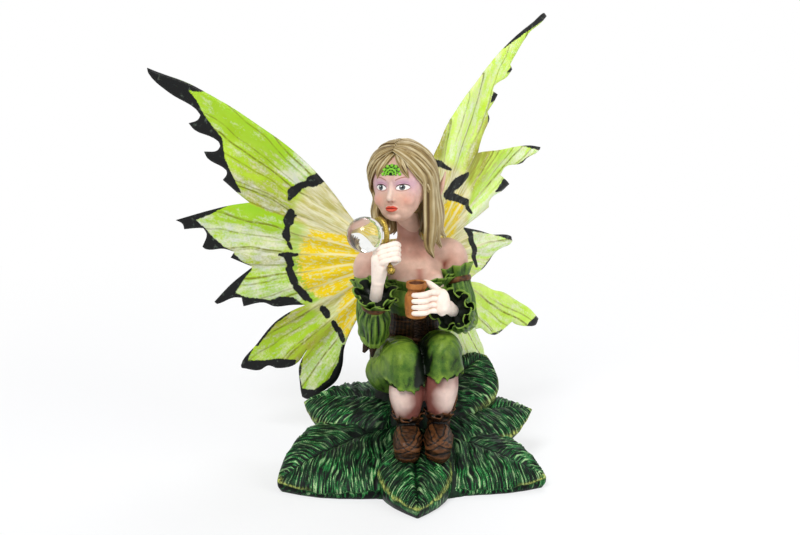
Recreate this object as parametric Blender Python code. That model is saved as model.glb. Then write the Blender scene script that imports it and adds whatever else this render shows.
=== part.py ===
"""Fairy figurine: a cast figure sitting on a rosette of leaves, two plugged-in wings, two plugged-in
hands, a bubble wand with its clear ball, and a little soap pot.

Blender 4.5, metres, +Z up. The origin is the middle of the flat underside, and the front leaf and the
viewer are at -Y. Sizes below are in millimetres and degrees, and MM turns them into metres.
"""

import math

import bmesh
import bpy
import numpy as np
from mathutils import Vector
from mathutils.bvhtree import BVHTree
from mathutils.geometry import delaunay_2d_cdt
from mathutils.kdtree import KDTree

MM = 0.001

# Fits between separate pieces
GLUE_GAP = 0.3
SOCKET_DEPTH = 4.0

# Base of leaves
MOUND_RADIUS = 33.0
MOUND_HEIGHT = 12.0
SEAT_HEIGHT = 29.0
CUT_DEPTH = 4.0
LEAF_ARCH = 2.2
LEAF_GROOVE = 1.6
LEAF_DROOP = 1.8
LEAF_INNER_RADIUS = 6.0
VEIN_DEPTH = 0.45
VEINS_PER_LEAF = 8
# Direction from the front, reach, heights at the inner end, middle and tip, half width, sideways tilt,
# how blunt the outline is, and how far in the underside runs (1 is upright)
LEAVES = (
    (2.0, 45.0, 13.0, 9.0, 3.0, 11.5, 0.0, 1.9, 0.93),
    (-62.0, 47.0, 14.0, 11.0, 3.5, 16.0, -17.0, 2.3, 0.94),
    (66.0, 45.5, 13.0, 9.0, 3.5, 14.0, 13.0, 2.2, 0.94),
    (108.0, 41.0, 17.0, 16.0, 15.0, 13.5, 13.0, 2.1, 0.5),
    (-112.0, 37.5, 20.0, 20.0, 17.0, 13.0, -13.0, 2.3, 0.5),
    (137.0, 36.0, 21.0, 25.0, 29.0, 13.5, 15.0, 3.6, 0.6),
    (-150.0, 37.0, 22.0, 20.0, 16.0, 14.0, -8.0, 2.6, 0.6),
    (178.0, 38.0, 24.0, 22.0, 12.0, 15.0, 0.0, 2.6, 0.8),
)

# Trunk: centre X, Y, Z, half width and half depth of each level, turned by the trunk's yaw
BODY_YAW = 14.0
TRUNK = (
    (0.0, 9.5, 29.0, 10.5, 9.0),
    (0.5, 8.5, 37.0, 10.0, 8.6),
    (0.6, 6.5, 44.0, 8.2, 6.8),
    (0.8, 4.5, 50.0, 7.4, 5.8),
    (1.0, 3.0, 57.0, 8.6, 6.6),
    (0.8, 2.8, 62.0, 9.2, 6.9),
    (0.2, 3.4, 67.0, 9.6, 6.2),
    (-0.4, 3.8, 71.0, 7.0, 4.8),
    (-0.9, 3.2, 74.0, 3.9, 3.7),
    (-1.4, 2.0, 78.0, 3.3, 3.3),
    (-1.8, 1.0, 84.0, 3.4, 3.5),
)
BUST_RADIUS = 4.5
BUST_SPREAD = 4.4
BUST_HEIGHT = 58.6
COLLAR_WAVES = 17

# Arms
RIGHT_SHOULDER = (-13.4, 1.5, 66.6)
RIGHT_ELBOW = (-11.8, -6.5, 46.0)
RIGHT_CUFF = (-11.3, -13.6, 58.6)
LEFT_SHOULDER = (12.2, 7.0, 68.6)
LEFT_ELBOW = (16.2, 1.5, 48.6)
LEFT_CUFF = (13.0, -7.6, 53.6)
SHOULDER_RADIUS = 4.4
SLEEVE_RADIUS = 4.5
CUFF_FLARE = 6.2
CUFF_LENGTH = 5.0
CUFF_WALL = 1.1
RUFFLE_WAVES = 7

# Legs
RIGHT_HIP = (-5.5, 9.0, 33.5)
RIGHT_KNEE = (-3.4, -13.5, 40.6)
RIGHT_ANKLE = (-1.2, -13.2, 20.0)
LEFT_HIP = (7.0, 10.5, 34.0)
LEFT_KNEE = (9.6, -11.5, 43.0)
LEFT_ANKLE = (8.3, -12.6, 21.0)
THIGH_RADIUS = 8.0
KNEE_RADIUS = 6.3
HEM_RADIUS = 6.4
SHIN_RADIUS = 5.7
ANKLE_RADIUS = 3.2
BOOT_HALF_WIDTH = 4.9
BOOT_LENGTH = 14.0
BOOT_SOLE_HEIGHT = 11.5

# Head
HEAD_CENTRE = (-3.5, -1.6, 91.5)
HEAD_YAW = -22.0
HEAD_PITCH = 8.0
HEAD_ROLL = -5.0
HEAD_HALF_WIDTH = 8.6
HEAD_HALF_DEPTH = 9.4
HEAD_HALF_HEIGHT = 11.4
HAIR_THICKNESS = 1.7
EAR_LOBE = (8.4, 1.6, 88.6)
EAR_TIP = (10.3, 2.8, 95.2)

# Bubble wand
RING_CENTRE = (-9.6, -13.6, 80.2)
RING_RADIUS = 4.1
RING_WIRE = 0.9
RING_TURN = 28.0
STEM_LEAN = 34.0
STEM_RADIUS = 0.6
STEM_LENGTH = 12.3
FINIAL_RADIUS = 1.35
BALL_RADIUS = 5.5

# Hands
WRIST_RADIUS = 1.9
FINGER_RADIUS = 0.95
FINGER_PITCH = 1.45
GRIP_START = 5.2

# Soap pot
POT_CENTRE = (1.3, -15.6, 59.8)
POT_RADIUS = 3.6
POT_NECK_RADIUS = 2.9
POT_HEIGHT = 11.0
POT_MOUTH_RADIUS = 2.3
POT_MOUTH_DEPTH = 1.6

# Wings
WING_ROOT_HEIGHT = 66.0
WING_ROOT_BACK = 10.0
WING_ROOT_HALF_GAP = 4.0
RIGHT_WING_SWEEP = 18.0
LEFT_WING_SWEEP = 48.0
WING_THICKNESS = 1.3
WING_PLEAT = 0.55
WING_PLEATS = 26
WING_CAMBER = 0.0003
WING_GRID = 4.2
TAB_HALF_HEIGHT = 7.0
# Outlines in each wing's own plane, outward and upward from the root
RIGHT_WING_OUTLINE = (
    (8, 6), (15, 11.5), (21, 18.5), (28, 26), (36.5, 33), (46, 39), (56.5, 45), (64, 48.5), (71.5, 51.7),
    (82, 54.5), (86, 55.7), (85.5, 54), (78, 48), (69, 43.5), (67.3, 41.6), (68.3, 40), (71.5, 38.7),
    (69.4, 36.7), (61.2, 33.5), (60.5, 32), (61.6, 30.5), (66, 29.9), (64.8, 27.8), (58.4, 24.4),
    (58.2, 23.2), (59.8, 21), (54.7, 17), (50.6, 14.2), (57.2, 12.9), (64.2, 10.8), (77, 6.3), (74.6, 5.2),
    (74, 3.5), (67.2, 4.4), (66, 2.5), (67.4, -1.7), (66.3, -2.4), (59.6, -1.7), (56, -2.4), (57.4, -4.4),
    (50, -7), (57.5, -13.3), (63.6, -19.9), (62.7, -20.6), (56.5, -17.8), (53.8, -17.6), (53.4, -20.6),
    (46.2, -18.7), (42.9, -19.7), (36, -18.5), (31.5, -18), (36.5, -20.5), (42.3, -24.8), (49, -33),
    (55, -41), (54.8, -42), (48.4, -42), (45, -40), (41.7, -40.4), (35.6, -38.6), (31, -32.6),
    (34.3, -39.3), (34.4, -43.7), (33.4, -49.5), (31.5, -50), (27, -47.4), (21.5, -42.8), (19.4, -37.5),
    (18.4, -31), (14.8, -22.6), (8, -12),
)
LEFT_WING_OUTLINE = (
    (1, 16), (2, 25), (4, 31.6), (8.6, 38.2), (14.6, 43.8), (20.6, 49.6), (28.4, 54.8), (38.8, 61.2),
    (47.4, 65.7), (55.7, 68.8), (61.2, 71), (62.6, 69.8), (59.4, 68), (52.6, 65.5), (47.5, 61.5),
    (42.3, 56.4), (43.2, 54.7), (40.5, 52.6), (34.5, 50.5), (33.5, 48.9), (35.6, 47.5), (33.6, 45.3),
    (30.4, 42.5), (31.2, 40.2), (28.5, 36.6), (26.3, 33), (25.6, 29.8), (32.4, 29.4), (43.2, 28.8),
    (53.7, 28), (58.5, 26.8), (58, 25.9), (51, 24.2), (48.5, 23), (40.4, 22.9), (37.6, 20.7), (41.9, 17),
    (37.8, 15.3), (32.6, 14.2), (31.4, 13), (31.8, 10.9), (26.9, 9), (19, 6.6), (26.2, 4.3), (34.4, 1.3),
    (43, -0.7), (43.6, -2.6), (42.3, -3.4), (36.6, -4.3), (33, -6.7), (29, -8.6), (24.2, -10.7),
    (21.6, -11.9), (27.8, -13.8), (34.8, -17.6), (40.4, -19.6), (48.4, -24.5), (54.7, -28.3),
    (59.7, -33), (58, -34.8), (53.8, -34.3), (47.2, -32.2), (44.9, -30.7), (43, -31.8), (37.2, -33.3),
    (32.2, -32.1), (27.5, -29), (25.5, -29), (28, -33), (30.5, -37), (31, -43), (27, -46), (21, -41),
    (15, -31), (10, -21), (5, -12),
)

# Working resolution of the casting
VOXEL = 0.45
CASTING_TRIANGLES = 7400
SMOOTH_PASSES = 3

COLOURS = {
    "skin": ((0.80, 0.60, 0.52), 0.45, 0.0),
    "hair": ((0.36, 0.28, 0.13), 0.50, 0.0),
    "green_cloth": ((0.10, 0.24, 0.04), 0.50, 0.0),
    "brown_leather": ((0.13, 0.05, 0.02), 0.50, 0.0),
    "leaf_green": ((0.02, 0.13, 0.04), 0.40, 0.0),
    "wing_lime": ((0.48, 0.72, 0.06), 0.35, 0.0),
    "pale_skin": ((0.90, 0.78, 0.70), 0.45, 0.0),
    "gold": ((0.45, 0.32, 0.06), 0.25, 1.0),
    "clear": ((0.95, 0.97, 0.96), 0.02, 0.0),
    "terracotta": ((0.72, 0.33, 0.10), 0.55, 0.0),
}


# Vector helpers
def unit(v):
    v = np.asarray(v, float)
    return v / np.linalg.norm(v)


def vec(*v):
    return np.array(v, float)


def spline(points, count):
    """Evenly spaced samples of a Catmull-Rom curve through rows of any width."""
    p = np.asarray(points, float)
    p = np.vstack([2 * p[0] - p[1], p, 2 * p[-1] - p[-2]])
    u = np.linspace(0, len(p) - 3, count)
    i = np.minimum(u.astype(int), len(p) - 4)
    t = (u - i)[:, None]
    a, b, c, d = p[i], p[i + 1], p[i + 2], p[i + 3]
    return 0.5 * (2 * b + (c - a) * t + (2 * a - 5 * b + 4 * c - d) * t**2 + (3 * b - a - 3 * c + d) * t**3)


def head_axes():
    """Columns are the head's left, back and up directions."""
    yaw, pitch, roll = (math.radians(a) for a in (HEAD_YAW, HEAD_PITCH, HEAD_ROLL))
    turn = np.array([[math.cos(yaw), -math.sin(yaw), 0], [math.sin(yaw), math.cos(yaw), 0], [0, 0, 1]])
    nod = np.array([[1, 0, 0], [0, math.cos(pitch), -math.sin(pitch)], [0, math.sin(pitch), math.cos(pitch)]])
    lean = np.array([[math.cos(roll), 0, math.sin(roll)], [0, 1, 0], [-math.sin(roll), 0, math.cos(roll)]])
    return turn @ nod @ lean


def body_side():
    """The figure's left, level direction."""
    return vec(math.cos(math.radians(BODY_YAW)), math.sin(math.radians(BODY_YAW)), 0)


def body_back():
    return vec(-math.sin(math.radians(BODY_YAW)), math.cos(math.radians(BODY_YAW)), 0)


# Closed shapes as (points, faces), in millimetres
def loft(rings):
    """A closed skin over rings of equal point count, with a flat cap at each end."""
    n = len(rings[0])
    faces = []
    for k in range(len(rings) - 1):
        for j in range(n):
            a, b = k * n + j, k * n + (j + 1) % n
            faces.append((a, b, b + n, a + n))
    faces.append(tuple(range(n))[::-1])
    faces.append(tuple((len(rings) - 1) * n + j for j in range(n)))
    return np.vstack(rings), faces


def circle(centre, across, along, a, b, sides):
    angle = np.arange(sides) * 2 * math.pi / sides
    return np.asarray(centre) + np.outer(a * np.cos(angle), across) + np.outer(b * np.sin(angle), along)


def ellipsoid(centre, radii, axes=None, sides=20, levels=12):
    axes = np.eye(3) if axes is None else axes
    rings = []
    for k in range(levels + 1):
        polar = math.pi * (0.02 + 0.96 * k / levels)
        r, h = math.sin(polar), -math.cos(polar)
        middle = np.asarray(centre) + axes[:, 2] * radii[2] * h
        rings.append(circle(middle, axes[:, 0], axes[:, 1], radii[0] * r, radii[1] * r, sides))
    return loft(rings)


def tube(path, radii, sides=14, steps=None, flatten=1.0, guide=(0, 0, 1)):
    """A round-ended tube along a smooth path. flatten squeezes it along the guide direction."""
    rows = np.column_stack([np.asarray(path, float), np.asarray(radii, float)])
    rows = spline(rows, steps or 6 * len(rows))
    points, radius = rows[:, :3], rows[:, 3]
    tangent = np.gradient(points, axis=0)
    tangent /= np.linalg.norm(tangent, axis=1)[:, None]
    rings = []

    def ring(centre, t, r):
        across = np.cross(guide, t)
        if np.linalg.norm(across) < 1e-3:
            across = np.cross((0.3, 1, 0), t)
        across = unit(across)
        return circle(centre, across, np.cross(t, across), r, r * flatten, sides)

    for polar in (0.15, 0.5, 0.85, 1.2):
        back = math.cos(polar) * radius[0] * flatten
        rings.append(ring(points[0] - tangent[0] * back, tangent[0], radius[0] * math.sin(polar)))
    rings += [ring(c, t, r) for c, t, r in zip(points, tangent, radius)]
    for polar in (1.2, 0.85, 0.5, 0.15):
        ahead = math.cos(polar) * radius[-1] * flatten
        rings.append(ring(points[-1] + tangent[-1] * ahead, tangent[-1], radius[-1] * math.sin(polar)))
    return loft(rings)


def ruffle(centre, axis, start_radius, end_radius, length, wall, sides=56):
    """A flared, wavy cuff with an open mouth: up the outside, over the rim and down the inside."""
    axis = unit(axis)
    across = unit(np.cross(axis, (0.2, 0.9, 0.1)))
    along = np.cross(axis, across)
    angle = np.arange(sides) * 2 * math.pi / sides
    wave = np.cos(RUFFLE_WAVES * angle) + 0.35 * np.cos((RUFFLE_WAVES - 3) * angle + 1)
    rings = []

    def ring(share, inset):
        flare = start_radius + (end_radius - start_radius) * share**1.3
        r = np.maximum(flare + 0.9 * share**2 * wave - inset, 0.2)
        h = length * share + 0.7 * share**2 * np.sin(RUFFLE_WAVES * angle + 0.6)
        offset = np.outer(r * np.cos(angle), across) + np.outer(r * np.sin(angle), along)
        return np.asarray(centre) + offset + np.outer(h, axis)

    rings += [ring(s, 0.0) for s in (0.0, 0.2, 0.4, 0.6, 0.8, 1.0)]
    rings += [ring(s, wall) for s in (1.0, 0.8, 0.6, 0.45)]
    rings.append(ring(0.4, start_radius + 1))
    return loft(rings)


# Leaves
def leaf_width(s, bluntness):
    """Share of the half width along a leaf: broad inside, pointed at the tip."""
    widest = 0.42
    inner = 1 - 0.3 * np.clip((widest - s) / widest, 0, 1) ** 2
    outer = 1 - np.clip((s - widest) / (1 - widest), 0, 1) ** bluntness
    return np.where(s < widest, inner, outer)


def leaf_point(leaf, s, t):
    """Top of a leaf at s along it from the middle of the base and t across it, -1 to 1."""
    heading, reach, inner_z, middle_z, tip_z, half_width, tilt, bluntness, _ = leaf
    heading = math.radians(heading)
    out = vec(math.sin(heading), -math.cos(heading), 0)
    side = vec(math.cos(heading), math.sin(heading), 0)
    distance = LEAF_INNER_RADIUS + (reach - LEAF_INNER_RADIUS) * s
    width = half_width * leaf_width(s, bluntness) * t
    z = inner_z * (1 - s) ** 2 + 2 * (2 * middle_z - (inner_z + tip_z) / 2) * s * (1 - s) + tip_z * s**2
    fade = np.clip((1 - s) * 4, 0, 1)
    z = z + math.tan(math.radians(tilt)) * width
    z = z + fade * (LEAF_ARCH * (1 - t**2) - LEAF_DROOP * t**4 - LEAF_GROOVE * np.exp(-((t / 0.13) ** 2)))
    vein = np.cos(2 * math.pi * VEINS_PER_LEAF * (s - 0.22 * np.abs(t)))
    z = z + fade * VEIN_DEPTH * vein * np.clip(np.abs(t) * 4, 0, 1)
    z = np.maximum(z, 1.2)
    return np.outer(distance, out) + np.outer(width, side) + np.outer(z, (0, 0, 1))


def leaf_solid(leaf, along=64, across=28):
    """A leaf's top surface with sides that run inwards to below the table."""
    s = np.linspace(0, 0.995, along)
    t = np.linspace(-1, 1, across)
    grid_s, grid_t = (g.ravel() for g in np.meshgrid(s, t, indexing="ij"))
    top = leaf_point(leaf, grid_s, grid_t)
    bottom = top * (leaf[-1], leaf[-1], 0) - (0, 0, CUT_DEPTH)
    count = along * across
    faces = []
    for i in range(along - 1):
        for j in range(across - 1):
            a, b, c, d = i * across + j, (i + 1) * across + j, (i + 1) * across + j + 1, i * across + j + 1
            faces += [(a, b, c, d), (d + count, c + count, b + count, a + count)]
    rim = [i * across for i in range(along)]
    rim += [(along - 1) * across + j for j in range(1, across)]
    rim += [i * across + across - 1 for i in range(along - 2, -1, -1)]
    rim += list(range(across - 2, 0, -1))
    for a, b in zip(rim, rim[1:] + rim[:1]):
        faces.append((b, a, a + count, b + count))
    return np.vstack([top, bottom]), faces


# Body of the figure
def trunk():
    side, back = body_side(), body_back()
    rows = spline(TRUNK, 40)
    return loft([circle(r[:3], side, back, r[3], r[4], 28) for r in rows])


def between(a, b, share):
    return np.asarray(a, float) * (1 - share) + np.asarray(b, float) * share


def arm_shapes(shoulder, elbow, cuff):
    """Bare shoulder, puffed upper sleeve, forearm sleeve and the two ruffles of one arm."""
    shoulder, elbow, cuff = (np.asarray(p, float) for p in (shoulder, elbow, cuff))
    upper, lower = unit(elbow - shoulder), unit(cuff - elbow)
    neck_side = between(shoulder, (-0.6, 4.0, 69.0), 0.75)
    gather = between(shoulder, elbow, 0.34)
    shapes = [
        ("skin", tube([neck_side, shoulder, gather], [4.2, SHOULDER_RADIUS, 3.9])),
        ("green_cloth", tube(
            [gather, between(gather, elbow, 0.5), elbow],
            [SLEEVE_RADIUS - 0.6, SLEEVE_RADIUS + 0.5, SLEEVE_RADIUS - 0.3])),
        ("green_cloth", tube(
            [elbow, between(elbow, cuff, 0.5), cuff],
            [SLEEVE_RADIUS - 0.3, SLEEVE_RADIUS + 0.3, SLEEVE_RADIUS - 0.9])),
        ("green_cloth", ruffle(gather + upper * 1.5, -upper, SLEEVE_RADIUS - 0.3, CUFF_FLARE - 0.6,
                               CUFF_LENGTH - 0.6, CUFF_WALL)),
        ("green_cloth", ruffle(cuff - lower * 0.5, lower, SLEEVE_RADIUS - 0.8, CUFF_FLARE, CUFF_LENGTH, CUFF_WALL)),
        ("brown_leather", ruffle_band(gather + upper * 1.2, upper)),
        ("brown_leather", ruffle_band(cuff - lower * 0.6, lower)),
    ]
    return shapes


def ruffle_band(centre, axis):
    """A tie drawn round a sleeve."""
    across = unit(np.cross(axis, (0.2, 0.9, 0.1)))
    along = np.cross(axis, across)
    r = SLEEVE_RADIUS
    rings = [circle(centre + np.asarray(axis) * h, across, along, r + grow, r + grow, 28)
             for h, grow in ((-0.8, -0.8), (-0.5, -0.25), (0.0, 0.0), (0.5, -0.25), (0.8, -0.8))]
    return loft(rings)


def leg_shapes(hip, knee, ankle):
    """Thigh and trouser leg with a pointed hem, bare shin, and boot of one leg."""
    hip, knee, ankle = (np.asarray(p, float) for p in (hip, knee, ankle))
    down = unit(ankle - knee)
    hem = knee + down * 8.5
    shapes = [("green_cloth", tube([hip, between(hip, knee, 0.55), knee],
                                   [THIGH_RADIUS, THIGH_RADIUS - 0.9, KNEE_RADIUS], sides=18))]
    across = unit(np.cross(down, (0, 1, 0)))
    front = np.cross(across, down)
    angle = np.arange(40) * 2 * math.pi / 40
    rings = []
    for share, radius in ((0.0, KNEE_RADIUS - 0.6), (0.5, HEM_RADIUS - 0.2), (1.0, HEM_RADIUS)):
        drop = 8.5 * share + 1.9 * share**3 * np.abs(np.cos(2.5 * angle + 0.4)) ** 0.8
        ring = knee + np.outer(radius * np.cos(angle), across) + np.outer(radius * np.sin(angle), front)
        rings.append(ring + np.outer(drop, down))
    rings.append(circle(hem, across, front, HEM_RADIUS - 1.2, HEM_RADIUS - 1.2, 40))
    shapes.append(("green_cloth", loft(rings)))
    shapes.append(("skin", tube([knee + down * 2, between(knee, ankle, 0.55), ankle],
                                [SHIN_RADIUS, SHIN_RADIUS - 0.3, ANKLE_RADIUS])))
    return shapes + boot_shapes(ankle)


def boot_shapes(ankle):
    heel = vec(ankle[0], ankle[1] + 1.5, BOOT_SOLE_HEIGHT + 3.6)
    toe = vec(ankle[0] - 0.3, ankle[1] + 4.0 - BOOT_LENGTH, BOOT_SOLE_HEIGHT + 3.4)
    foot = tube([heel, between(heel, toe, 0.55) + (0, 0, 0.9), toe],
                [BOOT_HALF_WIDTH - 0.9, BOOT_HALF_WIDTH - 0.1, BOOT_HALF_WIDTH - 0.7])
    shaft = tube([heel, ankle + (0, 0, 1.5)], [BOOT_HALF_WIDTH - 0.7, BOOT_HALF_WIDTH - 0.6])
    collar = ruffle(ankle, (0, 0.05, 1), BOOT_HALF_WIDTH - 0.9, BOOT_HALF_WIDTH + 0.2, 3.2, CUFF_WALL)
    return [("brown_leather", foot), ("brown_leather", shaft), ("brown_leather", collar)]


def head_place(x, y, z):
    return np.asarray(HEAD_CENTRE) + head_axes() @ vec(x, y, z)


def head_shapes():
    """Skull and jaw, nose, lips and the pointed ear that shows through the hair."""
    axes = head_axes()
    w, d, h = HEAD_HALF_WIDTH, HEAD_HALF_DEPTH, HEAD_HALF_HEIGHT
    return [
        ("skin", ellipsoid(head_place(0, 0.3, 1.6), (w, d - 0.6, h - 1.8), axes)),
        ("skin", ellipsoid(head_place(0, -2.8, -5.2), (w * 0.68, d * 0.6, h * 0.5), axes)),
        ("skin", tube([head_place(0, -d + 0.9, 0.2), head_place(0, -d + 0.1, -3.2)], [0.6, 1.0])),
        ("skin", tube([head_place(-1.2, -d + 1.2, -5.9), head_place(1.2, -d + 1.2, -5.9)], [0.7, 0.7])),
        ("skin", tube([EAR_LOBE, between(EAR_LOBE, EAR_TIP, 0.5), EAR_TIP], [1.2, 1.3, 0.5])),
    ]


def hair_shapes():
    """A cap over the skull and long locks that fall to the shoulders on both sides."""
    axes = head_axes()
    w, d, h = HEAD_HALF_WIDTH, HEAD_HALF_DEPTH, HEAD_HALF_HEIGHT
    grow = HAIR_THICKNESS
    shapes = [("hair", ellipsoid(head_place(0, 3.0, 2.2), (w + grow, d + grow - 1.5, h + grow - 1.4), axes))]
    # Each lock: head side, how far round from the front, where its end hangs, radii along it
    locks = (
        (-1, 70, (-10.4, 0.5, 81.0), (1.2, 1.8, 1.5, 0.8)),
        (-1, 95, (-10.2, 3.5, 77.0), (1.4, 2.2, 2.0, 1.0)),
        (-1, 130, (-7.5, 7.5, 75.0), (1.6, 2.6, 2.6, 1.2)),
        (1, 66, (5.4, -3.0, 69.4), (1.2, 1.9, 2.0, 0.8)),
        (1, 84, (8.2, -0.8, 71.8), (1.4, 2.3, 2.1, 0.9)),
        (1, 105, (9.8, 2.6, 74.0), (1.6, 2.6, 2.4, 1.0)),
        (1, 135, (6.0, 8.5, 74.0), (1.6, 2.8, 2.8, 1.2)),
        (-1, 158, (-3.6, 9.6, 73.0), (1.6, 3.0, 3.0, 1.4)),
        (1, 160, (2.6, 10.2, 73.0), (1.6, 3.0, 3.0, 1.4)),
        (1, 178, (-0.5, 10.4, 72.0), (1.6, 3.0, 3.2, 1.4)),
    )
    for hand, turn, end, radii in locks:
        a = math.radians(turn)
        top = head_place(hand * 0.8, -3.0 + 4 * (turn / 180), h + grow - 2.6)
        hip = head_place(hand * (w + grow - 1.0) * math.sin(a), 1.2 - (d - 1.0) * math.cos(a), 0.5)
        cheek = head_place(hand * (w + grow - 1.6) * math.sin(a), 1.4 - (d - 1.4) * math.cos(a), -6.0)
        shapes.append(("hair", tube([top, hip, cheek, end], radii, flatten=0.8, guide=body_back())))
    for hand, tip in ((-1, (-5.2, -6.8, 4.4)), (1, (5.2, -7.6, 4.2))):
        shapes.append(("hair", tube(
            [head_place(0, -2.6, h + 1.0), head_place(hand * 3.0, -5.8, h - 3.0), head_place(*tip)],
            [1.0, 1.1, 0.5])))
    return shapes


def dress_shapes():
    """Bust of the dress, laced bodice, and the collar that runs round to the sleeves."""
    side, back = body_side(), body_back()
    middle = vec(0.9, 2.9, BUST_HEIGHT)
    shapes = []
    for hand in (-1, 1):
        centre = middle + side * hand * BUST_SPREAD - back * 4.0
        shapes.append(("green_cloth", ellipsoid(centre, (BUST_RADIUS, BUST_RADIUS - 0.4, BUST_RADIUS))))
        shapes.append(("skin", ellipsoid(centre + (0, 0.4, 2.2), (BUST_RADIUS - 0.5, BUST_RADIUS - 0.7, 3.6))))
    rows = spline(((0.9, 4.5, 50.0, 8.1, 6.5), (1.0, 3.6, 55.0, 9.2, 7.2), (1.0, 3.0, 59.5, 10.4, 7.6)), 10)
    shapes.append(("green_cloth", loft([circle(r[:3], side, back, r[3], r[4], 28) for r in rows])))
    rows = spline(((0.6, 7.4, 40.0, 9.6, 8.2), (0.8, 5.4, 46.0, 8.7, 7.3), (0.9, 4.2, 52.0, 8.4, 6.8)), 10)
    shapes.append(("brown_leather", loft([circle(r[:3], side, back, r[3], r[4], 28) for r in rows])))
    rows = ((60.0, 0.2), (61.6, 0.9), (63.0, 1.3), (64.0, 1.5), (63.9, 0.5), (62.4, -1.0))
    angle = np.arange(72) * 2 * math.pi / 72
    wave = np.cos(COLLAR_WAVES * angle) + 0.4 * np.cos((COLLAR_WAVES + 4) * angle)
    rings = []
    for z, grow in rows:
        loose = np.clip((z - 60) / 3, 0, 1)
        a, b = 10.6 + grow + 0.5 * loose * wave, 8.0 + grow + 0.5 * loose * wave
        ring = np.outer(a * np.cos(angle), side) + np.outer(b * np.sin(angle), back)
        ring[:, 2] += z + 0.6 * loose * wave - 1.3 * np.cos(angle) ** 2 * loose
        rings.append(ring + (0.6, 3.0, 0))
    shapes.append(("green_cloth", loft(rings)))
    hips = ellipsoid((0.8, 9.6, 33.5), (12.4, 10.2, 9.0), np.column_stack([side, back, (0, 0, 1)]))
    shapes.append(("green_cloth", hips))
    tail = [vec(-9.5, -1.5, 45.0), vec(-13.0, -3.0, 43.0), vec(-15.0, -4.0, 39.5)]
    shapes.append(("brown_leather", tube(tail, [1.6, 1.8, 0.8])))
    return shapes


def base_shapes():
    shapes = [("leaf_green", leaf_solid(leaf)) for leaf in LEAVES]
    shapes.append(("leaf_green", ellipsoid((0, 0, 0), (MOUND_RADIUS, MOUND_RADIUS - 3, MOUND_HEIGHT))))
    shapes.append(("leaf_green", ellipsoid((0, 9, SEAT_HEIGHT / 3), (17, 14, SEAT_HEIGHT * 2 / 3))))
    return shapes


# Blender objects
def clear_scene():
    for obj in list(bpy.data.objects):
        bpy.data.objects.remove(obj)


def material(name):
    found = bpy.data.materials.get(name)
    if found:
        return found
    colour, roughness, metallic = COLOURS[name]
    made = bpy.data.materials.new(name)
    made.use_nodes = True
    shader = made.node_tree.nodes["Principled BSDF"]
    shader.inputs["Base Color"].default_value = (*colour, 1)
    shader.inputs["Roughness"].default_value = roughness
    shader.inputs["Metallic"].default_value = metallic
    if name == "clear":
        shader.inputs["Transmission Weight"].default_value = 1
    made.diffuse_color = (*colour, 1)
    return made


def new_object(name, shape, *materials):
    """An object from (points, faces) in millimetres, with faces turned outwards."""
    points, faces = shape
    mesh = bpy.data.meshes.new(name)
    mesh.from_pydata([tuple(p) for p in np.asarray(points) * MM], [], faces)
    bm = bmesh.new()
    bm.from_mesh(mesh)
    bmesh.ops.recalc_face_normals(bm, faces=bm.faces)
    bm.to_mesh(mesh)
    bm.free()
    obj = bpy.data.objects.new(name, mesh)
    bpy.context.scene.collection.objects.link(obj)
    for m in materials:
        mesh.materials.append(material(m))
    return obj


def merged(shapes):
    """Several (points, faces) as one."""
    points, faces, start = [], [], 0
    for p, f in shapes:
        points.append(p)
        faces += [tuple(start + i for i in face) for face in f]
        start += len(p)
    return np.vstack(points), faces


def settle(obj):
    """Replaces an object's mesh with the result of its modifiers."""
    graph = bpy.context.evaluated_depsgraph_get()
    made = bpy.data.meshes.new_from_object(obj.evaluated_get(graph), depsgraph=graph)
    obj.modifiers.clear()
    obj.data = made


def fuse(obj, voxel, smooth, triangles):
    """Fuses overlapping shapes into one skin, softens it and brings it to a triangle count."""
    remesh = obj.modifiers.new("fuse", "REMESH")
    remesh.mode = "VOXEL"
    remesh.voxel_size = voxel * MM
    if smooth:
        soften = obj.modifiers.new("soften", "SMOOTH")
        soften.iterations = smooth
        soften.factor = 0.5
    settle(obj)
    obj.data.calc_loop_triangles()
    thin = obj.modifiers.new("thin", "DECIMATE")
    thin.ratio = min(1.0, triangles / len(obj.data.loop_triangles))
    settle(obj)


def boolean(obj, cutter, operation="DIFFERENCE"):
    """Cuts an object with a helper, which is then hidden."""
    cut = obj.modifiers.new("cut_" + cutter.name, "BOOLEAN")
    cut.operation = operation
    cut.object = cutter
    settle(obj)
    cutter.hide_render = True
    cutter.display_type = "WIRE"


def helper(name, shape):
    obj = new_object(name, shape)
    obj.hide_render = True
    obj.display_type = "WIRE"
    return obj


def keep_largest(obj):
    """Removes crumbs that fusing or cutting can leave beside the piece."""
    bm = bmesh.new()
    bm.from_mesh(obj.data)
    left = set(bm.verts)
    islands = []
    while left:
        stack = [left.pop()]
        island = set(stack)
        while stack:
            for edge in stack.pop().link_edges:
                for vert in edge.verts:
                    if vert in left:
                        left.remove(vert)
                        island.add(vert)
                        stack.append(vert)
        islands.append(island)
    islands.sort(key=len)
    for island in islands[:-1]:
        bmesh.ops.delete(bm, geom=list(island), context="VERTS")
    bmesh.ops.triangulate(bm, faces=bm.faces)
    bm.to_mesh(obj.data)
    bm.free()


def paint_by_nearest(obj, shapes):
    """Gives each face the material of the nearest of the shapes that it was fused from."""
    names = list(dict.fromkeys(name for name, _ in shapes))
    trees = []
    for name, (points, faces) in shapes:
        tree = BVHTree.FromPolygons([Vector(p) * MM for p in points], faces)
        trees.append((names.index(name), tree))
    obj.data.materials.clear()
    for name in names:
        obj.data.materials.append(material(name))
    for face in obj.data.polygons:
        found = [(tree.find_nearest(face.center)[3], index) for index, tree in trees]
        face.material_index = min(found)[1]
    obj.data.shade_smooth()
    obj.data.set_sharp_from_angle(angle=math.radians(50))


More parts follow.
